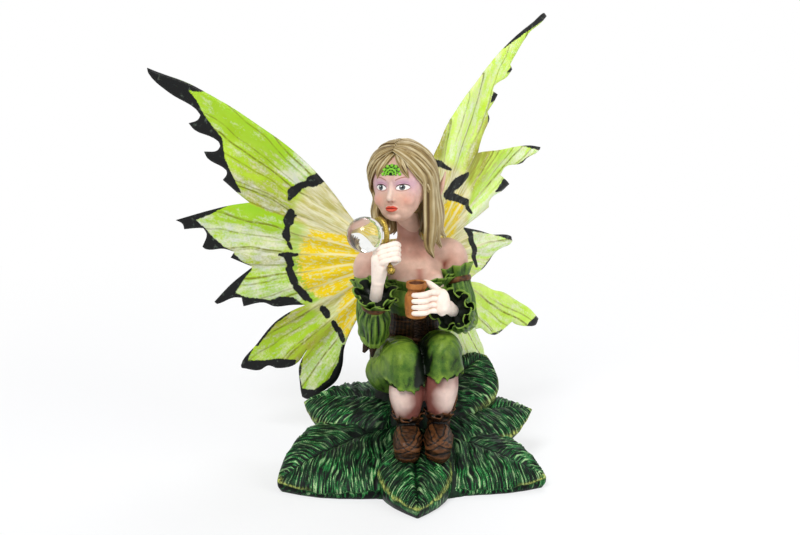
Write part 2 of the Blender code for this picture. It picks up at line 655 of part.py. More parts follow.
# Wand and its own directions
def ring_normal():
    """Points from the ring to the ball."""
    a = math.radians(RING_TURN)
    return vec(-math.cos(a), -math.sin(a), 0)


def stem_direction():
    """Down the stem from the ring's centre, in the ring's plane."""
    a, lean = math.radians(RING_TURN), math.radians(STEM_LEAN)
    level = vec(math.sin(a), -math.cos(a), 0)
    return level * math.sin(lean) - vec(0, 0, 1) * math.cos(lean)


def ball_centre():
    reach = BALL_RADIUS + RING_WIRE + GLUE_GAP
    return np.asarray(RING_CENTRE) + ring_normal() * math.sqrt(reach**2 - RING_RADIUS**2)


def wand():
    """Ring, stem and finial as one gold casting."""
    normal, down = ring_normal(), stem_direction()
    centre = np.asarray(RING_CENTRE)
    across = np.cross(normal, down)
    rings = 24
    points, faces, sides = [], [], 8
    for k in range(rings):
        a = 2 * math.pi * k / rings
        out = down * math.cos(a) + across * math.sin(a)
        points.append(circle(centre + out * RING_RADIUS, out, normal, RING_WIRE, RING_WIRE, sides))
        for j in range(sides):
            m, n = k * sides, ((k + 1) % rings) * sides
            faces.append((m + j, m + (j + 1) % sides, n + (j + 1) % sides, n + j))
    obj = new_object("bubble_wand", (np.vstack(points), faces), "gold")
    stem = tube([centre + down * (RING_RADIUS + 0.1), centre + down * STEM_LENGTH], [STEM_RADIUS] * 2, sides=10, steps=2)
    finial = ellipsoid(centre + down * STEM_LENGTH, [FINIAL_RADIUS] * 3, sides=12, levels=7)
    for name, shape in (("stem", stem), ("finial", finial)):
        boolean(obj, helper("wand_" + name, shape), "UNION")
    keep_largest(obj)
    return obj


def ball():
    mesh = bpy.data.meshes.new("bubble_ball")
    bm = bmesh.new()
    bmesh.ops.create_icosphere(bm, subdivisions=3, radius=BALL_RADIUS * MM)
    bm.to_mesh(mesh)
    bm.free()
    obj = bpy.data.objects.new("bubble_ball", mesh)
    obj.location = Vector(ball_centre()) * MM
    bpy.context.scene.collection.objects.link(obj)
    mesh.materials.append(material("clear"))
    mesh.shade_smooth()
    return obj


# Pot
def pot_rings(grow=0.0, sides=22):
    """The turned profile of the pot, from its foot up. With no growth it ends in a shallow mouth."""
    x, y, z = POT_CENTRE
    h, r, n = POT_HEIGHT / 2, POT_RADIUS, POT_NECK_RADIUS
    profile = ((-h, r * 0.7), (-h + 0.8, r * 0.92), (-h * 0.3, r), (h * 0.2, r * 0.97), (h * 0.45, n * 0.93),
               (h * 0.62, n * 0.93), (h * 0.72, n * 1.08), (h, n * 1.08))
    rings = []
    for height, radius in profile:
        lift = grow if height == h else -grow if height == -h else 0
        rings.append(circle((x, y, z + height + lift), (1, 0, 0), (0, 1, 0), radius + grow, radius + grow, sides))
    if not grow:
        for height in (h, h - POT_MOUTH_DEPTH):
            ring = circle((x, y, z + height), (1, 0, 0), (0, 1, 0), POT_MOUTH_RADIUS, POT_MOUTH_RADIUS, sides)
            rings.append(ring)
    return rings


# Hands
def right_hand_shapes():
    """A fist round the wand's stem: wrist, palm, four curled fingers and the thumb."""
    down = stem_direction()
    right = unit(vec(1, 0, 0) - down * down[0])
    up = np.cross(right, down)
    if up[2] < 0:
        up = -up
    centre = np.asarray(RING_CENTRE)
    ring = STEM_RADIUS + GLUE_GAP + FINGER_RADIUS + 0.15
    shapes = []
    for k in range(4):
        middle = centre + down * (GRIP_START + FINGER_PITCH * k)
        path, radii = [], []
        for angle in (215, 170, 125, 80, 35, -10, -55, -90):
            a = math.radians(angle)
            reach = ring + 1.2 * max(0, math.cos(a))
            path.append(middle + right * reach * math.cos(a) + up * reach * math.sin(a))
            radii.append(FINGER_RADIUS)
        radii[-1] = FINGER_RADIUS * 0.8
        shapes.append(tube(path, radii, sides=10, steps=22))
    palm_top = centre + down * (GRIP_START + 0.6) - right * (ring + 0.5)
    palm_low = centre + down * (GRIP_START + FINGER_PITCH * 3) - right * (ring + 0.6) - up * 0.6
    heel = between(palm_low, RIGHT_WRIST_SEAT, 0.42)
    shapes.append(tube([palm_top, palm_low, heel], [1.5, 1.9, WRIST_RADIUS], sides=12))
    shapes.append(tube([between(palm_top, palm_low, 0.5) - right * 0.2, heel], [1.9, WRIST_RADIUS + 0.2], sides=12))
    shapes.append(tube([heel, RIGHT_WRIST_SEAT], [WRIST_RADIUS + 0.1, WRIST_RADIUS], sides=14, steps=5))
    thumb = [heel + right * 0.6, palm_low + right * 1.2 - up * 1.6, palm_top + right * 1.6 - up * 2.4]
    shapes.append(tube(thumb, [1.1, 1.0, 0.85], sides=10))
    return shapes


def left_hand_shapes():
    """Fingers across the front of the pot, the back of the hand, thumb and wrist."""
    x, y, z = POT_CENTRE
    reach = POT_RADIUS + GLUE_GAP + FINGER_RADIUS
    shapes = []
    knuckles = vec(x + reach + 1.6, y - 1.6, z)
    for k in range(4):
        height = z + 3.1 - 1.9 * k
        path = []
        for angle in (-100, -78, -55, -30):
            a = math.radians(angle)
            path.append(vec(x + reach * math.cos(a), y + reach * math.sin(a), height + 0.4 * math.sin(a)))
        path.append(vec(knuckles[0], knuckles[1], height - 0.3))
        shapes.append(tube(path, [FINGER_RADIUS * 0.85] + [FINGER_RADIUS] * 3 + [FINGER_RADIUS + 0.2], sides=10, steps=16))
    back_of_hand = knuckles + (1.3, 0.6, -0.6)
    shapes.append(ellipsoid(back_of_hand, (2.5, 2.3, 4.4)))
    heel = between(back_of_hand, LEFT_WRIST_SEAT, 0.45)
    shapes.append(tube([back_of_hand - (0, 0, 1.5), heel], [2.3, WRIST_RADIUS + 0.2], sides=14))
    shapes.append(tube([heel, LEFT_WRIST_SEAT], [WRIST_RADIUS + 0.1, WRIST_RADIUS], sides=14, steps=5))
    thumb = [back_of_hand + (-0.6, 0.8, 3.0), vec(x + 3.4, y + 2.6, z + 4.4), vec(x + 1.0, y + 4.3, z + 3.6)]
    shapes.append(tube(thumb, [1.2, 1.05, 0.85], sides=10))
    return shapes


# Wrist ends: each is pushed down its sleeve to the floor of a socket
RIGHT_WRIST_SEAT = np.asarray(RIGHT_CUFF) - unit(np.subtract(RIGHT_CUFF, RIGHT_ELBOW)) * (SOCKET_DEPTH - 3)
LEFT_WRIST_SEAT = np.asarray(LEFT_CUFF) - unit(np.subtract(LEFT_CUFF, LEFT_ELBOW)) * (SOCKET_DEPTH - 3)


# Wings
def wing_axes(hand):
    """Root, outward direction and normal of one wing. hand is -1 for the right wing and 1 for the left."""
    sweep = math.radians(LEFT_WING_SWEEP if hand > 0 else RIGHT_WING_SWEEP)
    root = vec(hand * WING_ROOT_HALF_GAP, WING_ROOT_BACK, WING_ROOT_HEIGHT)
    out = vec(hand * math.cos(sweep), math.sin(sweep), 0)
    return root, out, vec(-hand * math.sin(sweep), math.cos(sweep), 0)


def wing_relief(u, v):
    """How far the wing's sheet stands off its plane: pleats that fan from the root, and a slight camber."""
    reach = np.hypot(u, v)
    angle = np.arctan2(v, u)
    pleat = WING_PLEAT * np.sin(WING_PLEATS * angle) * np.clip(reach / 25, 0, 1) * np.clip(1.6 - reach / 80, 0.3, 1)
    return pleat + WING_CAMBER * np.maximum(reach - 12, 0) ** 2


def wing_sheet(outline, spacing):
    """Triangles of a flat sheet inside an outline, with inner points on a staggered grid."""
    border = []
    for (x0, y0), (x1, y1) in zip(outline, outline[1:] + outline[:1]):
        cuts = max(1, round(math.hypot(x1 - x0, y1 - y0) / (spacing * 1.2)))
        border += [(x0 + (x1 - x0) * k / cuts, y0 + (y1 - y0) * k / cuts) for k in range(cuts)]
    low, high = np.min(border, axis=0), np.max(border, axis=0)
    tree = KDTree(len(border))
    for k, (x, y) in enumerate(border):
        tree.insert((x, y, 0), k)
    tree.balance()
    inner = []
    rows = int((high[1] - low[1]) / (spacing * 0.866))
    for j in range(1, rows + 1):
        for i in range(int((high[0] - low[0]) / spacing) + 1):
            x = low[0] + (i + 0.5 * (j % 2)) * spacing
            y = low[1] + j * spacing * 0.866
            if tree.find((x, y, 0))[2] > spacing * 0.55:
                inner.append((x, y))
    n = len(border)
    edges = [(k, (k + 1) % n) for k in range(n)]
    points, _, faces, *_ = delaunay_2d_cdt([Vector(p) for p in border + inner], edges, [], 1, 1e-4)
    return np.array([tuple(p) for p in points]), [tuple(f) for f in faces]


def wing(hand):
    """A thin pleated sheet with a tab at its root that enters the figure's back."""
    outline = LEFT_WING_OUTLINE if hand > 0 else RIGHT_WING_OUTLINE
    tab = [(-SOCKET_DEPTH + 1, -TAB_HALF_HEIGHT), (-SOCKET_DEPTH + 1, TAB_HALF_HEIGHT)]
    flat, faces = wing_sheet([*outline, *tab], WING_GRID)
    root, out, normal = wing_axes(hand)
    middle = root + np.outer(flat[:, 0], out) + np.outer(flat[:, 1], (0, 0, 1))
    middle = middle + np.outer(wing_relief(flat[:, 0], flat[:, 1]), normal)
    half = normal * WING_THICKNESS / 2
    n = len(middle)
    count = {}
    for face in faces:
        for a, b in zip(face, face[1:] + face[:1]):
            count[(a, b)] = True
    skin = [face[::-1] for face in faces] + [tuple(i + n for i in face) for face in faces]
    skin += [(a, b, b + n, a + n) for a, b in count if (b, a) not in count]
    name = "left_wing" if hand > 0 else "right_wing"
    obj = new_object(name, (np.vstack([middle - half, middle + half]), skin), "wing_lime")
    obj.data.shade_smooth()
    obj.data.set_sharp_from_angle(angle=math.radians(40))
    return obj


def grown_copy(obj, gap):
    """A helper that is the object's skin moved outwards by a gap, for cutting room round it."""
    mesh = obj.data.copy()
    bm = bmesh.new()
    bm.from_mesh(mesh)
    bm.normal_update()
    moved = [(v, v.co + v.normal * gap * MM) for v in bm.verts]
    for v, co in moved:
        v.co = co
    bm.to_mesh(mesh)
    bm.free()
    made = bpy.data.objects.new("room_for_" + obj.name, mesh)
    made.location = obj.location
    bpy.context.scene.collection.objects.link(made)
    made.hide_render = True
    made.display_type = "WIRE"
    return made


def socket(name, seat, elbow, cuff):
    """The bore in a cuff that a wrist is glued into."""
    axis = unit(np.subtract(cuff, elbow))
    radius = WRIST_RADIUS + GLUE_GAP + 0.1
    side = unit(np.cross(axis, (0.2, 0.9, 0.1)))
    ends = [np.asarray(seat) - axis * (WRIST_RADIUS + GLUE_GAP), np.asarray(cuff) + axis * (CUFF_LENGTH + 3)]
    return helper(name, loft([circle(p, side, np.cross(axis, side), radius, radius, 24) for p in ends]))


def fist(name, shapes, triangles):
    obj = new_object(name, merged(shapes), "pale_skin")
    fuse(obj, 0.22, 3, triangles)
    return obj


def main():
    clear_scene()
    shapes = base_shapes() + [("skin", trunk())] + dress_shapes() + head_shapes() + hair_shapes()
    shapes += arm_shapes(RIGHT_SHOULDER, RIGHT_ELBOW, RIGHT_CUFF)
    shapes += arm_shapes(LEFT_SHOULDER, LEFT_ELBOW, LEFT_CUFF)
    shapes += leg_shapes(RIGHT_HIP, RIGHT_KNEE, RIGHT_ANKLE) + leg_shapes(LEFT_HIP, LEFT_KNEE, LEFT_ANKLE)
    casting = new_object("fairy_casting", merged([shape for _, shape in shapes]), "skin")
    fuse(casting, VOXEL, SMOOTH_PASSES, CASTING_TRIANGLES)

    table = vec(0, 0, -20)
    below = loft([circle(table + (0, 0, h), (1, 0, 0), (0, 1, 0), 90, 90, 12) for h in (0, 20)])
    boolean(casting, helper("table_cut", below))

    right_wing, left_wing = wing(-1), wing(1)
    boolean(casting, socket("right_socket", RIGHT_WRIST_SEAT, RIGHT_ELBOW, RIGHT_CUFF))
    boolean(casting, socket("left_socket", LEFT_WRIST_SEAT, LEFT_ELBOW, LEFT_CUFF))

    wand_piece, ball_piece = wand(), ball()
    pot = new_object("soap_pot", loft(pot_rings()), "terracotta")
    pot.data.set_sharp_from_angle(angle=math.radians(40))
    right_hand = fist("right_hand", right_hand_shapes(), 640)
    left_hand = fist("left_hand", left_hand_shapes(), 640)
    boolean(right_hand, grown_copy(wand_piece, GLUE_GAP))
    boolean(right_hand, grown_copy(ball_piece, GLUE_GAP))
    boolean(left_hand, helper("room_for_pot", loft(pot_rings(GLUE_GAP))))

    for piece in (right_wing, left_wing, right_hand, left_hand, wand_piece, ball_piece, pot):
        boolean(casting, grown_copy(piece, GLUE_GAP))
    for piece in (casting, right_hand, left_hand):
        keep_largest(piece)
    paint_by_nearest(casting, shapes)
    for piece in (right_hand, left_hand, wand_piece):
        piece.data.shade_smooth()
        piece.data.set_sharp_from_angle(angle=math.radians(50))


main()
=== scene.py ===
"""Looks of the fairy figurine: hand-painted cast resin, printed-looking wings, clear ball and gold wand.

All lengths are in millimetres and turned into metres with MM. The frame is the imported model's own:
+Z up, the viewer at -Y, the origin in the middle of the flat underside.
"""

import math

import bmesh
import bpy
import numpy as np
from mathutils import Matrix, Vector
from mathutils.geometry import delaunay_2d_cdt
from mathutils.kdtree import KDTree


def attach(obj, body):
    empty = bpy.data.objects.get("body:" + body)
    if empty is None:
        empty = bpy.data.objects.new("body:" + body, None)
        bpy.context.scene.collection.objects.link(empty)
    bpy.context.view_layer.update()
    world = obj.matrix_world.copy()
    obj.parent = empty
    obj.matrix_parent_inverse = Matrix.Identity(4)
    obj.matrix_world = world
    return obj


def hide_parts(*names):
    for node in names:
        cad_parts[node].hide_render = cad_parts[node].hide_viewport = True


MM = 0.001
CASTING = "fairy_casting"

# Camera: a longish lens, a little above the figure
CAMERA_TARGET = (-3.7, 0.0, 65.7)
CAMERA_DISTANCE = 620.0
CAMERA_ELEVATION = 15.0
CAMERA_LENS = 90.0
SENSOR_WIDTH = 36.0
CLIP_RANGE = (0.01, 20.0)

# Studio, in metres: each lamp's place, size and watts
WORLD_LIGHT = 0.36
LAMPS = {
    "key": ((-0.3, -0.7, 0.95), 0.45, 9.0),
    "fill": ((0.75, -0.45, 0.45), 0.6, 3.0),
    "rim": ((0.15, 0.7, 0.75), 0.5, 3.0),
}
LAMP_AIM = (0, 0, 0.06)
FLOOR_HALF_WIDTH = 4.0
FLOOR_COLOUR = (0.86, 0.87, 0.9)
FLOOR_ROUGHNESS = 0.6
FLOOR_GLOW = 0.62
SHADOW_REACH = (0.1, 0.3)

# Voxel size and smoothing passes that fuse the shapes of a piece into one skin
FUSED = {
    "skin": (0.44, 5),
    "head": (0.26, 3),
    "ear": (0.16, 4),
    "trousers": (0.38, 3),
    "boots": (0.27, 2),
    "right_hand_painted": (0.19, 2),
    "left_hand_painted": (0.19, 2),
}

# Base of leaves, as in the solids
LEAF_ARCH = 2.2
LEAF_GROOVE = 1.6
LEAF_DROOP = 1.8
LEAF_INNER_RADIUS = 6.0
CUT_DEPTH = 4.0
VEIN_DEPTH = 0.3
VEINS_PER_LEAF = 8
STROKE_PITCH = 1.55
STROKE_DEPTH = 0.27
EDGE_DROP = 0.7
# Points along and across a leaf, and rows down its sides
LEAF_GRID = (108, 76, 8)
# Heading, reach, heights at the inner end, middle and tip, half width, tilt, bluntness, and how far out
# the foot lies as a share of the edge
LEAVES = {
    "leaf_front": (2.0, 45.0, 13.0, 9.0, 3.0, 11.5, 0.0, 1.9, 0.93),
    "leaf_front_left": (-62.0, 47.0, 14.0, 11.0, 3.5, 16.0, -17.0, 2.3, 0.94),
    "leaf_front_right": (66.0, 45.5, 13.0, 9.0, 3.5, 14.0, 13.0, 2.2, 0.94),
    "leaf_right": (108.0, 41.0, 17.0, 16.0, 15.0, 13.5, 13.0, 2.1, 0.5),
    "leaf_left": (-112.0, 37.5, 20.0, 20.0, 17.0, 13.0, -13.0, 2.3, 0.5),
    "leaf_back_right": (137.0, 36.0, 21.0, 25.0, 29.0, 13.5, 15.0, 3.6, 0.6),
    "leaf_back_left": (-150.0, 37.0, 22.0, 20.0, 16.0, 14.0, -8.0, 2.6, 0.6),
    "leaf_back": (178.0, 38.0, 24.0, 22.0, 12.0, 15.0, 0.0, 2.6, 0.8),
}

# Share of pale paint on the two edges of a leaf, partly edge paint and partly painted highlight on the upper
# edges
LEAF_RIMS = {"leaf_front": (1.0, 1.0), "leaf_front_left": (0.6, 0.0), "leaf_front_right": (0.0, 0.6),
             "leaf_right": (1.0, 0.2), "leaf_left": (0.1, 0.6)}

# Extra width towards the front where a leaf meets the front leaf, with the sign of that side
LEAF_SKIRTS = {"leaf_front_left": 0.3, "leaf_front_right": -0.42}

# Figure, as in the solids
BODY_YAW = 14.0
TRUNK = (
    (0.6, 6.5, 44.0, 8.2, 6.8),
    (0.8, 4.5, 50.0, 7.4, 5.8),
    (1.0, 3.0, 57.0, 8.6, 6.6),
    (0.8, 2.8, 62.0, 9.2, 6.9),
    (0.2, 3.4, 67.0, 9.6, 6.2),
    (-0.4, 3.8, 71.0, 7.0, 4.8),
    (-0.9, 3.2, 74.0, 3.9, 3.7),
    (-1.4, 2.0, 78.0, 3.3, 3.3),
    (-1.8, 1.0, 84.0, 3.4, 3.5),
)
RIGHT_ARM = ((-13.4, 1.5, 66.6), (-11.8, -6.5, 46.0), (-11.3, -13.6, 58.6))
LEFT_ARM = ((12.2, 7.0, 68.6), (16.2, 1.5, 48.6), (13.0, -7.6, 53.6))
# The knees are a little lower and closer than in the solids
RIGHT_LEG = ((-5.5, 9.0, 33.5), (-2.5, -13.5, 40.0), (-1.2, -13.2, 20.0))
LEFT_LEG = ((7.0, 10.5, 34.0), (9.8, -11.5, 42.4), (8.3, -12.6, 21.0))
SLEEVE_RADIUS = 4.5
GATHER_SHARE = 0.34
CUFF_FLARE = 6.2
CUFF_LENGTH = 5.0
THIGH_RADIUS = 8.0
KNEE_RADIUS = 6.3
HEM_RADIUS = 6.4
SHIN_RADIUS = 5.7
ANKLE_RADIUS = 3.2
BOOT_HALF_WIDTH = 4.9
BOOT_LENGTH = 14.0
BOOT_SOLE_HEIGHT = 11.5

HEAD_CENTRE = (-3.5, -1.6, 91.5)
HEAD_YAW = -22.0
HEAD_PITCH = 8.0
FACE_PITCH = -9.0
HEAD_ROLL = -5.0
HEAD_SIZE = (8.6, 9.4, 11.4)
HAIR_THICKNESS = 1.7
EYE_HEIGHT = 0.2
EYE_SPREAD = 3.5
EYE_HALF_WIDTH = 2.0
EYE_HALF_HEIGHT = 1.05
MOUTH_HEIGHT = -6.0
MOUTH_HALF_WIDTH = 2.0

# Wand, ball, pot and hands, as in the solids
GLUE_GAP = 0.3
RING_CENTRE = (-9.6, -13.6, 80.2)
RING_RADIUS = 4.1
RING_WIRE = 0.9
RING_TURN = 28.0
STEM_LEAN = 34.0
STEM_RADIUS = 0.6
STEM_LENGTH = 12.3
FINIAL_RADIUS = 1.35
BALL_RADIUS = 5.5
POT_CENTRE = (1.3, -15.6, 59.8)
POT_RADIUS = 3.6
POT_NECK_RADIUS = 2.9
POT_HEIGHT = 11.0
WRIST_RADIUS = 1.9
FINGER_RADIUS = 0.95
FINGER_PITCH = 1.45
GRIP_START = 5.2

# Wings: outlines in each wing's own plane, outward and upward from the root
WING_THICKNESS = 1.0
WING_PLEAT = 0.45
WING_PLEATS = 26
WING_CAMBER = 0.0003
WING_GRID = 0.6
WING_ROOT = (4.0, 10.0, 66.0)
RIGHT_WING_SWEEP = 18.0
LEFT_WING_SWEEP = 48.0
RIGHT_WING = (
    (8, 6), (15, 11.5), (21, 18.5), (28, 26), (36.5, 33), (46, 39), (56.5, 45), (64, 48.5), (71.5, 51.7),
    (82, 54.5), (86, 55.7), (85.5, 54), (78, 48), (69, 43.5), (67.3, 41.6), (68.3, 40), (71.5, 38.7),
    (69.4, 36.7), (61.2, 33.5), (60.5, 32), (61.6, 30.5), (66, 29.9), (64.8, 27.8), (58.4, 24.4),
    (58.2, 23.2), (59.8, 21), (54.7, 17), (50.6, 14.2), (57.2, 12.9), (64.2, 10.8), (77, 6.3), (74.6, 5.2),
    (74, 3.5), (67.2, 4.4), (66, 2.5), (67.4, -1.7), (66.3, -2.4), (59.6, -1.7), (56, -2.4), (57.4, -4.4),
    (50, -7), (57.5, -13.3), (63.6, -19.9), (62.7, -20.6), (56.5, -17.8), (53.8, -17.6), (53.4, -20.6),
    (46.2, -18.7), (42.9, -19.7), (36, -18.5), (31.5, -18), (36.5, -20.5), (42.3, -24.8), (49, -33),
    (55, -41), (54.8, -42), (48.4, -42), (45, -40), (41.7, -40.4), (35.6, -38.6), (31, -32.6),
    (34.3, -39.3), (34.4, -43.7), (33.4, -49.5), (31.5, -50), (27, -47.4), (21.5, -42.8), (19.4, -37.5),
    (18.4, -31), (14.8, -22.6), (8, -12), (-3, -7), (-3, 7),
)
LEFT_WING = (
    (1, 16), (2, 25), (4, 31.6), (8.6, 38.2), (14.6, 43.8), (20.6, 49.6), (28.4, 54.8), (38.8, 61.2),
    (47.4, 65.7), (55.7, 68.8), (61.2, 71), (62.6, 69.8), (59.4, 68), (52.6, 65.5), (47.5, 61.5),
    (42.3, 56.4), (43.2, 54.7), (40.5, 52.6), (34.5, 50.5), (33.5, 48.9), (35.6, 47.5), (33.6, 45.3),
    (30.4, 42.5), (31.2, 40.2), (28.5, 36.6), (26.3, 33), (25.6, 29.8), (32.4, 29.4), (43.2, 28.8),
    (53.7, 28), (58.5, 26.8), (58, 25.9), (51, 24.2), (48.5, 23), (40.4, 22.9), (37.6, 20.7), (41.9, 17),
    (37.8, 15.3), (32.6, 14.2), (31.4, 13), (31.8, 10.9), (26.9, 9), (19, 6.6), (26.2, 4.3), (34.4, 1.3),
    (43, -0.7), (43.6, -2.6), (42.3, -3.4), (36.6, -4.3), (33, -6.7), (29, -8.6), (24.2, -10.7),
    (21.6, -11.9), (27.8, -13.8), (34.8, -17.6), (40.4, -19.6), (48.4, -24.5), (54.7, -28.3),
    (59.7, -33), (58, -34.8), (53.8, -34.3), (47.2, -32.2), (44.9, -30.7), (43, -31.8), (37.2, -33.3),
    (32.2, -32.1), (27.5, -29), (25.5, -29), (28, -33), (30.5, -37), (31, -43), (27, -46), (21, -41),
    (15, -31), (10, -21), (5, -12), (-3, -7), (-3, 7),
)
# Angles of the top edge, the notches between the lobes and the bottom edge, and how far out the black band is
RIGHT_LOBES = ((44.0, 37.0), (15.7, 38.0), (-8.0, 37.5), (-29.7, 35.5), (-46.4, 31.5), (-70.0, 34.0))
LEFT_LOBES = ((80.0, 31.0), (49.3, 31.0), (19.2, 21.0), (-28.9, 24.0), (-48.7, 20.0), (-72.0, 20.0))
# Black areas: the inner edge of each, closed outside the wing
RIGHT_BLACK = (
    ((63.5, 49.4), (68, 49.2), (71, 49.4), (68.3, 46.3), (66.4, 42.7), (63.5, 38.9), (59.7, 34.6),
     (58.7, 28.6), (56.5, 23.8), (53.2, 17.2), (62, 18), (72, 26), (82, 42), (92, 58)),
    ((57.2, 13.2), (65.1, 9.0), (69.6, 7), (66.6, 4.8), (63.6, 1.8), (59.7, -0.8), (56.7, -2.2), (53.2, -5.3),
     (49.6, -6.9), (60, -5.6), (80, 0), (82, 9), (60, 13.8)),
    ((49.4, -7.1), (52.5, -10.7), (55.9, -16), (52.6, -17.1), (48.3, -17.2), (43.9, -17.5), (40.4, -15.9),
     (36.1, -15.8), (32.2, -17.9), (37, -20.2), (44, -22), (55, -24), (68, -22), (62, -13), (54, -7.6)),
    ((49.6, -33.4), (52.4, -39), (46, -38.2), (40.8, -36.9), (34.8, -36.7), (36, -40), (45, -44), (58, -44),
     (56, -36)),
    ((34.4, -42), (33.3, -46.6), (28.7, -46.3), (23.5, -41.8), (20.7, -36.4), (19, -30), (16, -30), (16, -40),
     (25, -52), (36, -52)),
)
LEFT_BLACK = (
    ((39.6, 61.7), (49.6, 65.6), (60, 68.4), (64, 68.6), (64, 73), (50, 70)),
    ((31.6, 45.4), (33.4, 48.4), (37, 48.4), (37, 45.6)),
    ((33.6, 15.6), (38.4, 19.4), (44, 18.6), (44, 15)),
    ((35.4, -5.0), (27.2, -8.8), (28, -11), (37, -8)),
    ((53.0, -33.2), (57.4, -31.6), (62, -32), (60, -37), (53, -36)),
)
# Black strokes: outward, upward and half width along each
RIGHT_STROKES = (
    ((24.6, 24.8, 1.5), (28.6, 23.0, 2.0), (30.2, 22.2, 1.0), (33, 21, 1.2), (35.5, 19, 1.7),
     (36.6, 16.4, 0.5)),
    ((36.2, 12.2, 1.4), (37, 9.6, 1.9), (37.2, 8.2, 1.1)), ((34.5, 11.2, 0.4), (37, 10.8, 0.9)),
    ((37.4, 6.6, 1.1), (37.8, 4.6, 1.6), (37.6, 3.2, 0.9)), ((37.2, 1.8, 0.7), (36.2, 0.4, 0.5)),
    ((34.0, -1.4, 0.5), (37, -1.6, 0.9), (40.2, -1.9, 0.5)), ((37.3, -2, 1.4), (36.6, -4.6, 1.4)),
    ((37.2, -6.8, 1.3), (35.2, -10.2, 1.5)), ((34.3, -12.4, 1.4), (31.6, -15.3, 1.4)),
    ((30.2, -16.0, 0.8), (29.4, -16.4, 0.6)), ((25.6, -18.9, 1.3), (24.2, -20.6, 1.3)),
    ((21.9, -22.9, 0.9), (20.8, -25.4, 1.0)), ((20.2, -25.5, 1.0), (18.8, -28.4, 1.0)),
    ((37, -20.9, 0.4), (42.3, -24.8, 0.6), (49, -33, 0.8)), ((33, -36, 0.3), (34.4, -42, 0.6)),
)
LEFT_STROKES = (
    ((2.6, 31.5, 0.7), (4.6, 29.9, 1.2), (7.2, 29.3, 1.1), (11.5, 26.8, 0.5)),
    ((9.4, 19.2, 1.3), (12.5, 20.6, 1.6), (16, 22.2, 1.6), (19.6, 23.6, 1.3)),
    ((10.2, 18.6, 1.4), (15.5, 16.8, 1.2), (19.5, 14.8, 1.2), (22, 11, 0.6)),
    ((20.2, 6.0, 1.0), (22.6, 1.6, 1.3), (24, -3, 1.2), (24.6, -7, 0.8)), ((19.5, 6.2, 0.6), (32, 2.4, 0.4)),
    ((50, 28.5, 0.3), (58.6, 26.6, 1.0)), ((46, 22.7, 0.4), (52, 24.2, 0.6)),
    ((40.5, 54, 0.4), (43, 55, 0.9)), ((34.4, 1.6, 0.3), (43.4, -1.4, 0.9)),
    ((48, -33.4, 0.5), (33, -32.6, 0.5)), ((30.6, 39, 0.4), (31, 41, 0.7)),
    ((27, -46.4, 0.9), (21, -41.4, 0.9)),
)


# Colours are written as seen, in 0 to 255, and turned into linear values
def rgb(*c):
    c = np.asarray(c, float) / 255
    return np.where(c <= 0.04045, c / 12.92, ((c + 0.055) / 1.055) ** 2.4)


SKIN = rgb(210, 173, 154)
# Rosy brown of the painted shade on the skin
SKIN_SHADE = rgb(160, 84, 66)
# Paler skin paint of the hands, also the painted highlight on the body and the nose
PALE_SKIN_AND_HIGHLIGHT = rgb(248, 232, 218)
HAIR_LIGHT = rgb(204, 190, 152)
HAIR_MID = rgb(152, 130, 84)
HAIR_DARK = rgb(84, 62, 32)
CLOTH_LIGHT = rgb(116, 146, 56)
CLOTH_MID = rgb(50, 88, 28)
CLOTH_DARK = rgb(6, 16, 5)
LEAF_LIGHT = rgb(186, 216, 160)
LEAF_DARK = rgb(2, 8, 5)
LEAF_RIM = rgb(188, 198, 104)
BROWN_LIGHT = rgb(138, 88, 44)
BROWN_MID = rgb(72, 44, 22)
BROWN_DARK = rgb(12, 7, 4)
SHIN_PALE = rgb(232, 208, 196)
SHIN_SHADE = rgb(112, 54, 44)
LILAC = rgb(196, 158, 186)
BLUSH = rgb(224, 150, 128)
KNUCKLE_SHADE = rgb(214, 160, 136)


# Vectors and curves
def unit(v):
    v = np.asarray(v, float)
    return v / np.linalg.norm(v)


def vec(*v):
    return np.array(v, float)


def between(a, b, share):
    return np.asarray(a, float) * (1 - share) + np.asarray(b, float) * share


def smoothstep(low, high, x):
    x = np.clip((np.asarray(x, float) - low) / (high - low), 0, 1)
    return x * x * (3 - 2 * x)


def bell(*ways):
    """1 in the middle and falling to 0 outwards along each way."""
    return np.exp(-sum(way**2 for way in ways))


def full_turn(sides):
    return np.arange(sides) * 2 * math.pi / sides


def unit_rows(points):
    return points / (np.linalg.norm(points, axis=1)[:, None] + 1e-9)


def around(angle, reach, shift, height):
    """Points on a circle, at which noise gives folds that close around a tube."""
    across, along = reach * np.cos(angle), reach * np.sin(angle) + shift
    return np.column_stack([across, along, np.full(len(angle), height)])


def spline(points, count):
    """Evenly spaced samples of a Catmull-Rom curve through rows of any width."""
    p = np.asarray(points, float)
    p = np.vstack([2 * p[0] - p[1], p, 2 * p[-1] - p[-2]])
    u = np.linspace(0, len(p) - 3, count)
    i = np.minimum(u.astype(int), len(p) - 4)
    t = (u - i)[:, None]
    a, b, c, d = p[i], p[i + 1], p[i + 2], p[i + 3]
    return 0.5 * (2 * b + (c - a) * t + (2 * a - 5 * b + 4 * c - d) * t**2 + (3 * b - a - 3 * c + d) * t**3)


def hashed(i, j, k, seed):
    n = (i * 73856093) ^ (j * 19349663) ^ (k * 83492791) ^ (seed * 2654435761)
    n = (n ^ (n >> 13)) * 1274126177
    return ((n ^ (n >> 16)) & 0xFFFF) / 65535.0


